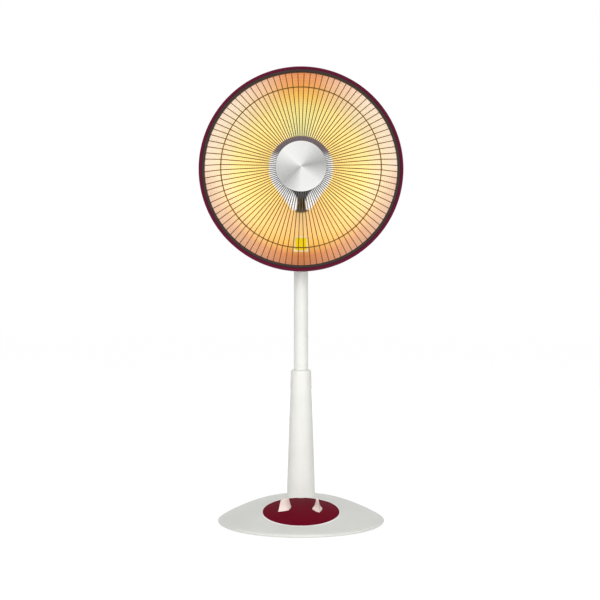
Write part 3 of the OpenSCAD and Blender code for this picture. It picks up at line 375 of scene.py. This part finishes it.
# Control panel.
# A glossy burgundy disc laid into the seat. Two stems come up through it.
panel_radius = 0.0745
panel_lacquer = moulded("panel_lacquer", tint(116, 9, 34), 0.22, grain=260, depth=0.02, shine=0.004)
bm = bmesh.new()
turned(bm, [(0, -0.0012), (panel_radius, -0.0012), (panel_radius, 0.0003)]
       + arc(panel_radius - 0.0005, 0.0003, 0.0005, 0, 90, 3) + [(0, 0.0008)],
       seat_middle, seat_normal, right, around)
piece("panel_disc", bm, "stand", panel_lacquer, ["control_panel"])
dress(["timer_unit", "terminal_block", "tip_plunger"], moulded("ivory_plastic", tint(222, 216, 196), 0.4))
dress(["power_switch", "tip_switch", "thermal_cutout"], dark_plastic)
dress(["timer_shaft", "power_shaft", "tip_spring"], zinc)

# Control knobs.
# Two off-white moulded knobs with a tall wedge grip and a small skirt, pushed
# on the stems: the timer on the left, the power switch on the right.
off_white = moulded("off_white_plastic", tint(250, 233, 225), 0.3, grain=1500, depth=0.08)
knob_aside, knob_behind, knob_lift = 0.032, 0.01, 0.0014
knob_corner = 1.25
# Height, half length and half width of each course of a knob.
knob_courses = ((0.0, 0.01875, 0.01), (0.0015, 0.0186, 0.0099), (0.0035, 0.0176, 0.0078),
                (0.006, 0.0166, 0.006), (0.0085, 0.0158, 0.0048), (0.012, 0.0146, 0.0037),
                (0.016, 0.0132, 0.0028), (0.0195, 0.0119, 0.0021), (0.0207, 0.0113, 0.0016),
                (0.021, 0.0106, 0.0009))
for side, name, body, angle in ((-1, "timer_knob", "timer_dial", 49), (1, "power_knob", "power_dial", 99)):
    bm = bmesh.new()
    lower = None
    for height, half_length, half_width in knob_courses:
        course = bmesh.ops.create_circle(bm, radius=1, segments=64)["verts"]
        for p in course:
            way = math.atan2(p.co.y, p.co.x)
            spread = (abs(math.cos(way)) ** knob_corner
                      + abs(math.sin(way)) ** knob_corner) ** (-1 / knob_corner)
            p.co = (half_length * spread * math.cos(way), half_width * spread * math.sin(way), height)
        upper = list({e for p in course for e in p.link_edges})
        if lower:
            bmesh.ops.bridge_loops(bm, edges=lower + upper)
        lower = upper
    bmesh.ops.contextual_create(bm, geom=lower)
    bmesh.ops.contextual_create(bm, geom=[e for e in bm.edges if e.is_boundary])
    bmesh.ops.transform(bm, verts=bm.verts[:], matrix=seat_frame
                        @ Matrix.Translation((side * knob_aside, knob_behind, knob_lift))
                        @ Matrix.Rotation(math.radians(angle), 4, "Z"))
    piece(name + "_grip", bm, body, off_white, [name], crease=50)

# Column.
# A tapered white moulding that stands in the base, with a rounded shoulder at
# its top and a boss at the back for the height clamp.
satin_white = moulded("satin_white", tint(233, 233, 228), 0.34, grain=1300, depth=0.1, shine=0.25)
foot_radius = 0.0287
top_radius = 0.02045
shoulder_radius = 0.004
column_low = 0.02
column_top = 0.299
taper_low = 0.046
taper_top = 0.295
mouth_radius = 0.0149
bush_low = 0.262
bore_top = 0.0192
bore_foot = 0.0263
clamp_height = 0.272
clamp_middle = (0, pole_y, clamp_height)
backward = (0, 1, 0)
bm = bmesh.new()
turned(bm, [(foot_radius, column_low), (foot_radius, taper_low), (top_radius, taper_top)]
       + arc(top_radius - shoulder_radius, taper_top, shoulder_radius, 8, 90, 8)
       + [(mouth_radius + 0.0004, column_top), (mouth_radius, column_top - 0.0004),
          (mouth_radius, bush_low), (bore_top, bush_low), (bore_foot, taper_low), (bore_foot, column_low)],
       pole, up, right)
turned(bm, [(0.0047, 0.018), (0.008, 0.018), (0.008, 0.0296), (0.0074, 0.0302), (0.0047, 0.0302)],
       clamp_middle, backward, right, 48)
piece("column_moulding", bm, "stand", satin_white, ["column"])
dress(["guide_bush", "clamp_pad", "tube_bush"], moulded("nylon", tint(228, 228, 222), 0.42))
dress(["clamp_nut", "spindle_bush", "swing_crank", "rocker_arm"],
      metal("brass", tint(200, 168, 96), 0.3))

# Height clamp.
# A six-lobed white knob on a plated screw, which presses a pad on the tube.
knob_face = 0.0327
lobes = 6
hollow = 0.2
bm = bmesh.new()
turned(bm, [(0.0031, knob_face), (0.0068, knob_face), (0.007, knob_face + 0.003)]
       + arc(0.0138, knob_face + 0.0042, 0.0012, 270, 360, 3)
       + arc(0.0134, knob_face + 0.0134, 0.0016, 0, 90, 4)
       + arc(0.0085, knob_face + 0.0135, 0.0015, 90, 180, 3) + [(0.0031, knob_face + 0.0128)],
       clamp_middle, backward, right, 96)
for p in bm.verts:
    offset = p.co - Vector((0, p.co.y, clamp_height))
    if offset.length > 0.0095 and p.co.y > pole_y + knob_face + 0.002:
        wave = max(0.0, math.cos(lobes * math.atan2(offset.z, offset.x)))
        p.co -= offset * hollow * wave ** 1.5
piece("clamp_knob_grip", bm, "clamp_screw", satin_white, ["clamp_knob"])
dress(["clamp_screw"], zinc)

# Sliding tube.
# Thin steel tube with white paint, which slides in the column.
tube_radius = 0.0145
tube_wall = 0.0012
tube_low, tube_top = 0.13, 0.54
tube_edge = 0.0004
white_paint = moulded("white_paint", tint(230, 231, 226), 0.24, grain=500, depth=0.05)
bm = bmesh.new()
turned(bm, [(tube_radius, tube_low + 0.0003), (tube_radius, tube_top - 0.0003),
            (tube_radius - tube_edge, tube_top), (tube_radius - tube_wall, tube_top),
            (tube_radius - tube_wall, tube_low), (tube_radius - tube_edge, tube_low)],
       pole, up, right, 96)
piece("sliding_tube", bm, "mast", white_paint, ["upper_tube"])

# Neck housing and cover.
# White moulded case on top of the tube, which holds the swing motor behind the
# post. Three screws hold its flat cover.
neck_top = 0.574
neck_low = 0.505
cover_thick = 0.004
cover_gap = 0.0002
neck_half = 0.024
motor_y = 0.094
case_edge, lid_edge = 0.0016, 0.0009


def neck_block(bm, low, high, soft):
    """A long block round the post and the motor, from low to high, with softened edges."""
    grown = bmesh.ops.create_circle(bm, cap_ends=True, radius=neck_half, segments=72,
                                    matrix=Matrix.Translation((0, pole_y, low)))["verts"]
    for p in grown:
        if p.co.y > pole_y + 1e-6:
            p.co.y += motor_y - pole_y
    foot = {f for p in grown for f in p.link_faces}
    raised = bmesh.ops.extrude_face_region(bm, geom=list(foot), use_keep_orig=True)["geom"]
    bmesh.ops.translate(bm, vec=(0, 0, high - low), verts=points_in(raised))
    ends = [e for e in bm.edges if len(e.link_faces) == 2 and e.calc_face_angle(0) > 1.2]
    bmesh.ops.bevel(bm, geom=ends, offset=soft, offset_type="OFFSET", segments=4, profile=0.5,
                    affect="EDGES", material=-1)


bm = bmesh.new()
neck_block(bm, neck_low, neck_top - cover_thick - cover_gap, case_edge)
piece("neck_case", bm, "mast", satin_white, ["neck_housing"])
bm = bmesh.new()
neck_block(bm, neck_top - cover_thick, neck_top, lid_edge)
piece("neck_lid", bm, "mast", satin_white, ["neck_cover"])
dress(["neck_screws", "swing_spindle", "motor_shaft"], zinc)
dress(["swing_motor"], metal("motor_can", tint(176, 178, 180), 0.35, (1, 1, 8), 200))
dress(["crank_link"], moulded("link_plastic", tint(222, 216, 196), 0.4))

# Yoke and tilt joint.
# A white painted steel yoke is screwed to the spindle. A bolt through its ears
# clamps the block on the back of the head, so the head tilts stiffly.
dress(["yoke", "tilt_block"], white_paint)
dress(["yoke_screws", "tilt_bolt", "tilt_nut", "block_screws", "ring_screws"], zinc)

# Back shell.
# A deep burgundy moulding closes the head behind the bowl. Eighteen slots let
# the warm air out.
head_z = 0.697
hub = (0, 0, head_z)
forward = (0, -1, 0)
burgundy = moulded("burgundy_plastic", tint(91, 18, 44), 0.3, grain=300, depth=0.03, shine=0.06)
dress(["back_shell"], burgundy)
dress(["heat_shield"], metal("shield_sheet", tint(200, 200, 202), 0.35))

# Reflector.
# A deep spun aluminium bowl behind the lamp. The lamp's warm glow in it is painted
# into its colour and given off as light: yellow in the middle, peach at the sides, orange at the top and
# foot.
bowl_depth = 0.0808
bowl_radius = 0.187
bowl_front = 0.0418
bowl_flange = 0.1972
sheet = 0.0008


def bowl_at(radius):
    """How far in front of the head's middle the bowl's inner face lies at a radius."""
    return bowl_front - bowl_depth * (1 - (radius / bowl_radius) ** 2)


# The next functions add to the material that is being made, whose parts are
# nodes, links and skin.
def feed(socket, value):
    """Links a socket to another, or sets it to a constant."""
    if isinstance(value, bpy.types.NodeSocket):
        links.new(value, socket)
    else:
        socket.default_value = value


def linked(kind, *inputs, **settings):
    """Adds a node, sets its options and feeds its inputs in order."""
    made = nodes.new(kind)
    for name, value in settings.items():
        setattr(made, name, value)
    for socket, value in zip(made.inputs, inputs):
        feed(socket, value)
    return made


def reckon(operation, *inputs):
    """The result of one sum."""
    return linked("ShaderNodeMath", *inputs, operation=operation).outputs[0]


def span(value, low, high, steps="SMOOTHSTEP"):
    """Runs from 0 to 1 as the value goes from low to high."""
    made = nodes.new("ShaderNodeMapRange")
    made.interpolation_type = steps
    made.inputs["From Min"].default_value = low
    made.inputs["From Max"].default_value = high
    links.new(value, made.inputs["Value"])
    return made.outputs["Result"]


def ramp(value, stops):
    """Colours, or greys given as one number, along a value."""
    made = nodes.new("ShaderNodeValToRGB")
    stops = [(place, (tone, tone, tone, 1) if isinstance(tone, (int, float)) else tone)
             for place, tone in stops]
    for stop, (place, tone) in zip(made.color_ramp.elements, (stops[0], stops[-1])):
        stop.position, stop.color = place, tone
    for place, tone in stops[1:-1]:
        made.color_ramp.elements.new(place).color = tone
    links.new(value, made.inputs["Fac"])
    return made.outputs["Color"]


def blend(share, first, second):
    """Goes from the first colour to the second as the share goes from 0 to 1."""
    made = linked("ShaderNodeMix", data_type="RGBA")
    feed(made.inputs["Factor"], share)
    feed(made.inputs["A"], first)
    feed(made.inputs["B"], second)
    return made.outputs["Result"]


def darkened(colour, shade):
    """One colour times another."""
    made = linked("ShaderNodeMix", data_type="RGBA", blend_type="MULTIPLY")
    feed(made.inputs["Factor"], 1)
    feed(made.inputs["A"], colour)
    feed(made.inputs["B"], shade)
    return made.outputs["Result"]


def object_place():
    """Where a point lies on the heater."""
    return nodes.new("ShaderNodeTexCoord").outputs["Object"]


def head_place():
    """Where a point lies, counted from the middle of the head."""
    made = linked("ShaderNodeMapping", object_place())
    made.inputs["Location"].default_value = (0, 0, -head_z)
    return made.outputs["Vector"]


def bowl_place(place):
    """A place across the bowl in shares of its radius, and the share from its middle."""
    flat = linked("ShaderNodeVectorMath", place, (1 / bowl_radius, 0, 1 / bowl_radius),
                  operation="MULTIPLY").outputs["Vector"]
    return flat, linked("ShaderNodeVectorMath", flat, operation="LENGTH").outputs["Value"]


def patches(place, scale, detail=2):
    """Soft random patches."""
    made = linked("ShaderNodeTexNoise", place)
    made.inputs["Scale"].default_value = scale
    made.inputs["Detail"].default_value = detail
    return made.outputs["Fac"]


def tool_rings(place, scale, wander, detail):
    """Fine rings round the head's axis, as spinning or turning leaves them."""
    made = linked("ShaderNodeTexWave", place, wave_type="RINGS", rings_direction="Y")
    made.inputs["Scale"].default_value = scale
    made.inputs["Distortion"].default_value = wander
    made.inputs["Detail"].default_value = detail
    return made.outputs["Fac"]


def uneven_gloss(value, low, high):
    """Lets the roughness go from low to high with a value."""
    made = nodes.new("ShaderNodeMapRange")
    feed(made.inputs["Value"], value)
    made.inputs["To Min"].default_value = low
    made.inputs["To Max"].default_value = high
    links.new(made.outputs["Result"], skin.inputs["Roughness"])


def lit(colour, strength):
    """Gives a colour to the surface and to the light that it gives off: the lamp's own glow, or a painted
    glow on parts that are no lamp.
    """
    links.new(colour, skin.inputs["Base Color"])
    links.new(colour, skin.inputs["Emission Color"])
    skin.inputs["Emission Strength"].default_value = strength


painted_glow_bowl, nodes, links, skin = new_finish("reflector_painted_glow")
skin.inputs["Metallic"].default_value = 0.55
place = head_place()
flat, reach = bowl_place(place)
apart = linked("ShaderNodeSeparateXYZ", flat)
lean = reckon("DIVIDE", reckon("ABSOLUTE", apart.outputs["X"]), reach)
upward = span(apart.outputs["Z"], -0.12, 0.06)
# The painted glow's colours, by reach from the middle, beside, above and under it.
beside = ramp(reach, [(0.45, tint(223, 207, 136)), (0.56, tint(226, 212, 141)), (0.69, tint(227, 216, 150)),
                      (0.79, tint(229, 214, 172)), (0.9, tint(232, 216, 186)), (1.0, tint(236, 216, 197))])
above = ramp(reach, [(0.45, tint(226, 224, 164)), (0.56, tint(228, 225, 156)), (0.69, tint(230, 212, 132)),
                     (0.79, tint(234, 188, 94)), (0.9, tint(224, 151, 80)), (1.0, tint(214, 136, 88))])
under = ramp(reach, [(0.45, tint(220, 188, 134)), (0.56, tint(229, 190, 132)), (0.69, tint(234, 192, 122)),
                     (0.79, tint(228, 178, 84)), (0.9, tint(200, 124, 76)), (1.0, tint(182, 116, 84))])
above_share = ramp(lean, [(0.0, 1.0), (0.2, 0.9), (0.45, 0.42), (0.72, 0.0)])
lean_under = reckon("MULTIPLY", lean, reckon("MULTIPLY_ADD", reach, -0.6, 1.3))
under_share = ramp(lean_under, [(0.0, 1.0), (0.2, 0.9), (0.5, 0.64), (0.7, 0.3), (0.8, 0.0)])
painted_glow = blend(blend(upward, under_share, above_share), beside, blend(upward, under, above))
rings = tool_rings(place, 70, 0.6, 1)
# The painted glow, with the spun rings, is the bowl's colour and is given off as light.
lit(darkened(painted_glow, ramp(rings, [(0.0, (0.88, 0.87, 0.84, 1)), (1.0, (1, 1, 1, 1))])), 0.62)
ripple = nodes.new("ShaderNodeBump")
ripple.inputs["Strength"].default_value = 0.35
ripple.inputs["Distance"].default_value = 0.0003
links.new(rings, ripple.inputs["Height"])
links.new(ripple.outputs["Normal"], skin.inputs["Normal"])
uneven_gloss(patches(place, 26), 0.22, 0.38)

front_side = [(r / 1000, bowl_at(r / 1000)) for r in range(9, 188, 3)]
front_side += [(bowl_radius, bowl_front), (bowl_flange, bowl_front)]
back_side = [(r, f - sheet) for r, f in reversed(front_side)]
bm = bmesh.new()
turned(bm, front_side + back_side, hub, forward, right, around)
bowl = piece("reflector_bowl", bm, "head", painted_glow_bowl, ["reflector"])
bowl.data.materials.append(metal("bare_aluminium", tint(190, 190, 188), 0.35, (1, 1, 6), 180))
for facet in bowl.data.polygons:
    if facet.normal.y > 0.05:
        facet.material_index = 1

# Tag.
# A plain yellow sticker with a pale border, stuck low on the bowl. It is blank.
tag_z, tag_half_width, tag_half_height = 0.552, 0.0113, 0.0128
tag = moulded("yellow_tag", tint(250, 220, 22), 0.45, shine=0.2)
nodes, links, skin = parts_of(tag)
centred = linked("ShaderNodeMapping", object_place())
centred.inputs["Location"].default_value = (0, 0, -tag_z / tag_half_height)
centred.inputs["Scale"].default_value = (1 / tag_half_width, 1, 1 / tag_half_height)
apart = linked("ShaderNodeSeparateXYZ", centred.outputs["Vector"])
widest = reckon("MAXIMUM", reckon("ABSOLUTE", apart.outputs["X"]), reckon("ABSOLUTE", apart.outputs["Z"]))
core = skin.inputs["Base Color"].links[0].from_socket
links.new(blend(span(widest, 0.97, 1.03), core, tint(250, 228, 178)), skin.inputs["Base Color"])
dress(["blank_tag"], tag)

# Lamp.
# A quartz tube with a glowing coil stands between two ceramic caps in a bent
# steel bracket, in the middle of the bowl.
quartz, nodes, links, skin = new_finish("quartz")
skin.inputs["Transmission Weight"].default_value = 0.85
skin.inputs["IOR"].default_value = 1.46
smoke = patches(object_place(), 60)
lit(ramp(smoke, [(0.3, tint(255, 205, 120)), (0.7, tint(255, 230, 170))]), 0.5)
uneven_gloss(smoke, 0.03, 0.12)
dress(["lamp_tube"], quartz)

coil, nodes, links, skin = new_finish("glowing_coil")
heat = patches(object_place(), 90)
lit(ramp(heat, [(0.3, tint(255, 150, 50)), (0.7, tint(255, 190, 90))]), 2.5)
dress(["lamp_filament"], coil)
dress(["lamp_caps"], moulded("ceramic", tint(232, 228, 220), 0.6, grain=900, depth=0.3))
dress(["lamp_bracket", "cowl_posts"], metal("bracket_steel", tint(196, 197, 200), 0.28, (1, 1, 6), 200))

# Lamp cowl.
# A pressed and chromed steel cover in the form of a drop, which hides the lamp
# from the front and throws its light back into the bowl.
chrome, nodes, links, skin = new_finish("satin_chrome")
skin.inputs["Metallic"].default_value = 0.4
place = head_place()
apart = linked("ShaderNodeSeparateXYZ", place)
height = apart.outputs["Z"]
# The painted dark reflection in the lower part of the drop: half its width from its
# foot up, and how much of the surface it covers.
below = span(height, -0.09, -0.04, "LINEAR")
goblet = ramp(below, [(0.03, 0.9), (0.1, 0.5), (0.2, 0.31), (0.47, 0.25), (0.65, 0.33), (0.83, 0.5),
                      (1.0, 0.8)])
aside = reckon("ABSOLUTE", reckon("SUBTRACT", apart.outputs["X"], 0.001))
inside = reckon("SUBTRACT", reckon("MULTIPLY", goblet, 0.03), aside)
painted_reflection = reckon("MULTIPLY", span(inside, -0.002, 0.0025), ramp(below, [(0.02, 0.92), (0.3, 1.0)]))
painted_reflection = reckon("MULTIPLY", painted_reflection, span(height, 0, -0.02))
wipe = patches(place, 45, 4)
bright = ramp(wipe, [(0.3, tint(238, 240, 243)), (0.7, tint(250, 251, 253))])
# The top of the drop is darker with painted shade.
painted_top_shade = blend(span(height, 0.018, 0.034), bright, tint(118, 96, 106))
# The drop also gives off a faint painted glow.
lit(blend(painted_reflection, painted_top_shade, tint(10, 12, 14)), 0.32)
uneven_gloss(wipe, 0.22, 0.34)

cowl_back = 0.042
cowl_depth = 0.025
cowl_round, cowl_tail, cowl_drop = 0.0625, 0.0275, 0.059
crown_inset = 0.015
to_head = Matrix.Translation(hub) @ Matrix.Rotation(math.radians(90), 4, "X")


def drop_level(bm, inset, height, share):
    """One level of the drop: a large circle, a small one below it, and the flat sides between."""
    level = bmesh.ops.create_circle(bm, radius=1, segments=around)["verts"]
    for p in level:
        way = p.co.normalized()
        tail = cowl_tail - way.y * cowl_drop > cowl_round
        flat = way * ((cowl_tail if tail else cowl_round) - inset)
        p.co = (flat.x * share, (flat.y - (cowl_drop if tail else 0)) * share, cowl_back + height)
    return list({e for p in level for e in p.link_edges})


bm = bmesh.new()
lower = drop_level(bm, 0, 0, 1)
# Inset, height and share of each level up to the flat crown.
for inset, rise, share in ((0, 0.0075, 1), (0, 0.0155, 1), (0.0002, 0.0176, 1), (0.0008, 0.0196, 1),
                           (0.002, 0.0214, 1), (0.0038, 0.0228, 1), (0.0065, 0.0238, 1),
                           (0.0102, 0.0246, 1), (crown_inset, cowl_depth - 0.0001, 1),
                           (crown_inset, cowl_depth, 0.8), (crown_inset, cowl_depth, 0.5),
                           (crown_inset, cowl_depth, 0.2)):
    upper = drop_level(bm, inset, rise, share)
    bmesh.ops.bridge_loops(bm, edges=lower + upper)
    lower = upper
bmesh.ops.contextual_create(bm, geom=lower)
bmesh.ops.transform(bm, verts=bm.verts[:], matrix=to_head)
cowl = piece("chrome_cowl", bm, "head", chrome, ["lamp_cowl"], crease=50)
wall = cowl.modifiers.new("wall", "SOLIDIFY")
wall.thickness = sheet
wall.offset = -1

# Guard rim.
# A dark coated hoop of rolled sheet. The outer ends of the wires sit in it.
gunmetal = moulded("gunmetal_coating", tint(54, 45, 42), 0.4, grain=700, depth=0.12, shine=0.18)
rim_back, rim_front, face = 0.0419, 0.0459, 0.048
rim_inside, rim_outside, rim_flange = 0.188, 0.1936, 0.1975
bm = bmesh.new()
turned(bm, [(rim_inside, rim_back), (rim_flange, rim_back), (rim_flange, rim_front),
            (rim_outside, rim_front), (rim_outside, face + 0.0002)]
       + arc(0.1908, face + 0.0004, 0.0027, 10, 170, 10) + [(rim_inside, face)],
       hub, forward, right, around)
piece("guard_hoop", bm, "head", gunmetal, ["guard_rim"])

# Wire guard.
# Ninety-six dark coated steel wires run from the hub plate over a middle hoop to the rim, each bent
# to a low dome and welded to the hoop. Outward, where the bowl's glow lies behind them, their colour is
# painted browner with the glow's light.
coating_and_painted_glow = moulded("dark_coating_painted_glow", tint(100, 90, 70), 0.45, grain=900, depth=0.1, shine=0.05)
nodes, links, skin = parts_of(coating_and_painted_glow)
flat, reach = bowl_place(head_place())
# Grey near the middle, then browner outward with painted glow.
links.new(ramp(reach, [(0.3, tint(100, 100, 98)), (0.37, tint(108, 84, 38)), (0.47, tint(114, 82, 16)),
                       (0.53, tint(118, 80, 4)), (0.78, tint(118, 80, 4)), (0.88, tint(116, 84, 44))]),
          skin.inputs["Base Color"])
wire_count = 96
wire_radius = 0.0009
# Radius and front of each bend of a wire.
wire_path = [(0.041, 0.0871), (0.0465, 0.0871), (0.052, 0.0867), (0.07, 0.0845), (0.1, 0.0805),
             (0.13, 0.0763), (0.147, 0.0738), (0.153, 0.0727), (0.158, 0.0707), (0.168, 0.0636),
             (0.1797, 0.0556), (0.188, 0.0497)]
hoop_radius, hoop_front, hoop_wire = 0.155, 0.0705, 0.0011
bm = bmesh.new()
points = bmesh.ops.create_circle(bm, cap_ends=True, radius=wire_radius, segments=7,
                                 matrix=Matrix.Rotation(math.radians(90), 4, "Y"))["verts"]
tip = bm.edges[:]
reached = Vector((0, 0, 0))
for bend, (r, f) in enumerate(wire_path):
    if bend:
        points, tip = grow_edge(bm, tip)
    target = Vector((r, 0, f))
    bmesh.ops.translate(bm, vec=target - reached, verts=points)
    reached = target
bmesh.ops.contextual_create(bm, geom=tip)
bmesh.ops.recalc_face_normals(bm, faces=bm.faces[:])
first_wire = bm.verts[:] + bm.edges[:] + bm.faces[:]
bmesh.ops.rotate(bm, cent=(0, 0, 0), matrix=Matrix.Rotation(math.pi / wire_count, 3, "Z"),
                 verts=bm.verts[:])
for i in range(1, wire_count):
    copy = bmesh.ops.duplicate(bm, geom=first_wire)["geom"]
    bmesh.ops.rotate(bm, cent=(0, 0, 0), matrix=Matrix.Rotation(2 * math.pi * i / wire_count, 3, "Z"),
                     verts=points_in(copy))
turned(bm, arc(hoop_radius, hoop_front, hoop_wire, 0, 315, 7), (0, 0, 0), up, right, around)
bmesh.ops.transform(bm, verts=bm.verts[:], matrix=to_head)
piece("guard_wires", bm, "head", coating_and_painted_glow, ["wire_guard"])
dress(["guard_hub"], coating_and_painted_glow)

# Centre disc.
# A thick aluminium disc with a turned face and a small bevel. It is blank.
disc_radius = 0.0485
disc_back, disc_front = 0.088, 0.092
spigot_back, spigot_inside, spigot_outside = 0.0847, 0.0178, 0.0198
bm = bmesh.new()
turned(bm, [(0, disc_back), (disc_radius, disc_back), (disc_radius, disc_front - 0.0012),
            (disc_radius - 0.0004, disc_front - 0.0007), (disc_radius - 0.0016, disc_front - 0.0002),
            (disc_radius - 0.0028, disc_front), (disc_radius * 0.5, disc_front), (0.004, disc_front),
            (0, disc_front)],
       hub, forward, right, around)
turned(bm, [(spigot_inside, spigot_back), (spigot_outside, spigot_back), (spigot_outside, disc_back),
            (spigot_inside, disc_back)], hub, forward, right, 72)
spun, nodes, links, skin = new_finish("turned_aluminium")
skin.inputs["Metallic"].default_value = 1
skin.inputs["Anisotropic"].default_value = 0.4
follow = linked("ShaderNodeTangent", direction_type="UV_MAP", uv_map="turning")
links.new(follow.outputs["Tangent"], skin.inputs["Tangent"])
place = head_place()
grooves = tool_rings(place, 260, 2.5, 2)
# Painted highlights and painted shade in fans round the turned face, from its left over
# its foot, right and top.
apart = linked("ShaderNodeSeparateXYZ", place)
way = reckon("ARCTAN2", apart.outputs["Z"], apart.outputs["X"])
painted_gleam = ramp(span(way, -math.pi, math.pi, "LINEAR"), [
    (turn, tint(tone, tone, tone - 2)) for turn, tone in
    ((0.0, 215), (0.12, 188), (0.25, 246), (0.38, 246), (0.53, 180), (0.7, 240), (0.88, 252), (1.0, 215))])
links.new(darkened(painted_gleam, ramp(grooves, [(0.0, 0.93), (1.0, 1.0)])), skin.inputs["Base Color"])
uneven_gloss(grooves, 0.26, 0.36)
disc = piece("centre_disc", bm, "head", spun, ["centre_badge"])
turning = disc.data.uv_layers.new(name="turning")
for facet in disc.data.polygons:
    middle = math.atan2(facet.center.z - head_z, facet.center.x)
    for corner in facet.loop_indices:
        co = disc.data.vertices[disc.data.loops[corner].vertex_index].co
        distance = math.hypot(co.x, co.z - head_z)
        angle = math.atan2(co.z - head_z, co.x) if distance > 1e-6 else middle
        if angle - middle > math.pi:
            angle -= 2 * math.pi
        if angle - middle < -math.pi:
            angle += 2 * math.pi
        turning.data[corner].uv = (distance * 10, angle / math.pi)

# Front ring.
# A burgundy moulded ring that clamps the guard and the bowl to the back shell.
ring_radius, ring_skirt, ring_bore = 0.2, 0.198, 0.1937
ring_back = 0.015
bm = bmesh.new()
turned(bm, [(ring_skirt, ring_back), (0.1996, ring_back), (ring_radius, 0.0154)]
       + arc(0.1972, face - 0.0028, 0.0028, 0, 90, 8)
       + [(0.1945, face), (0.1939, face - 0.0003), (ring_bore, face - 0.0009), (ring_bore, face - 0.002),
          (ring_skirt, face - 0.002)], hub, forward, right, 192)
piece("front_ring_moulding", bm, "head", burgundy, ["front_ring"])
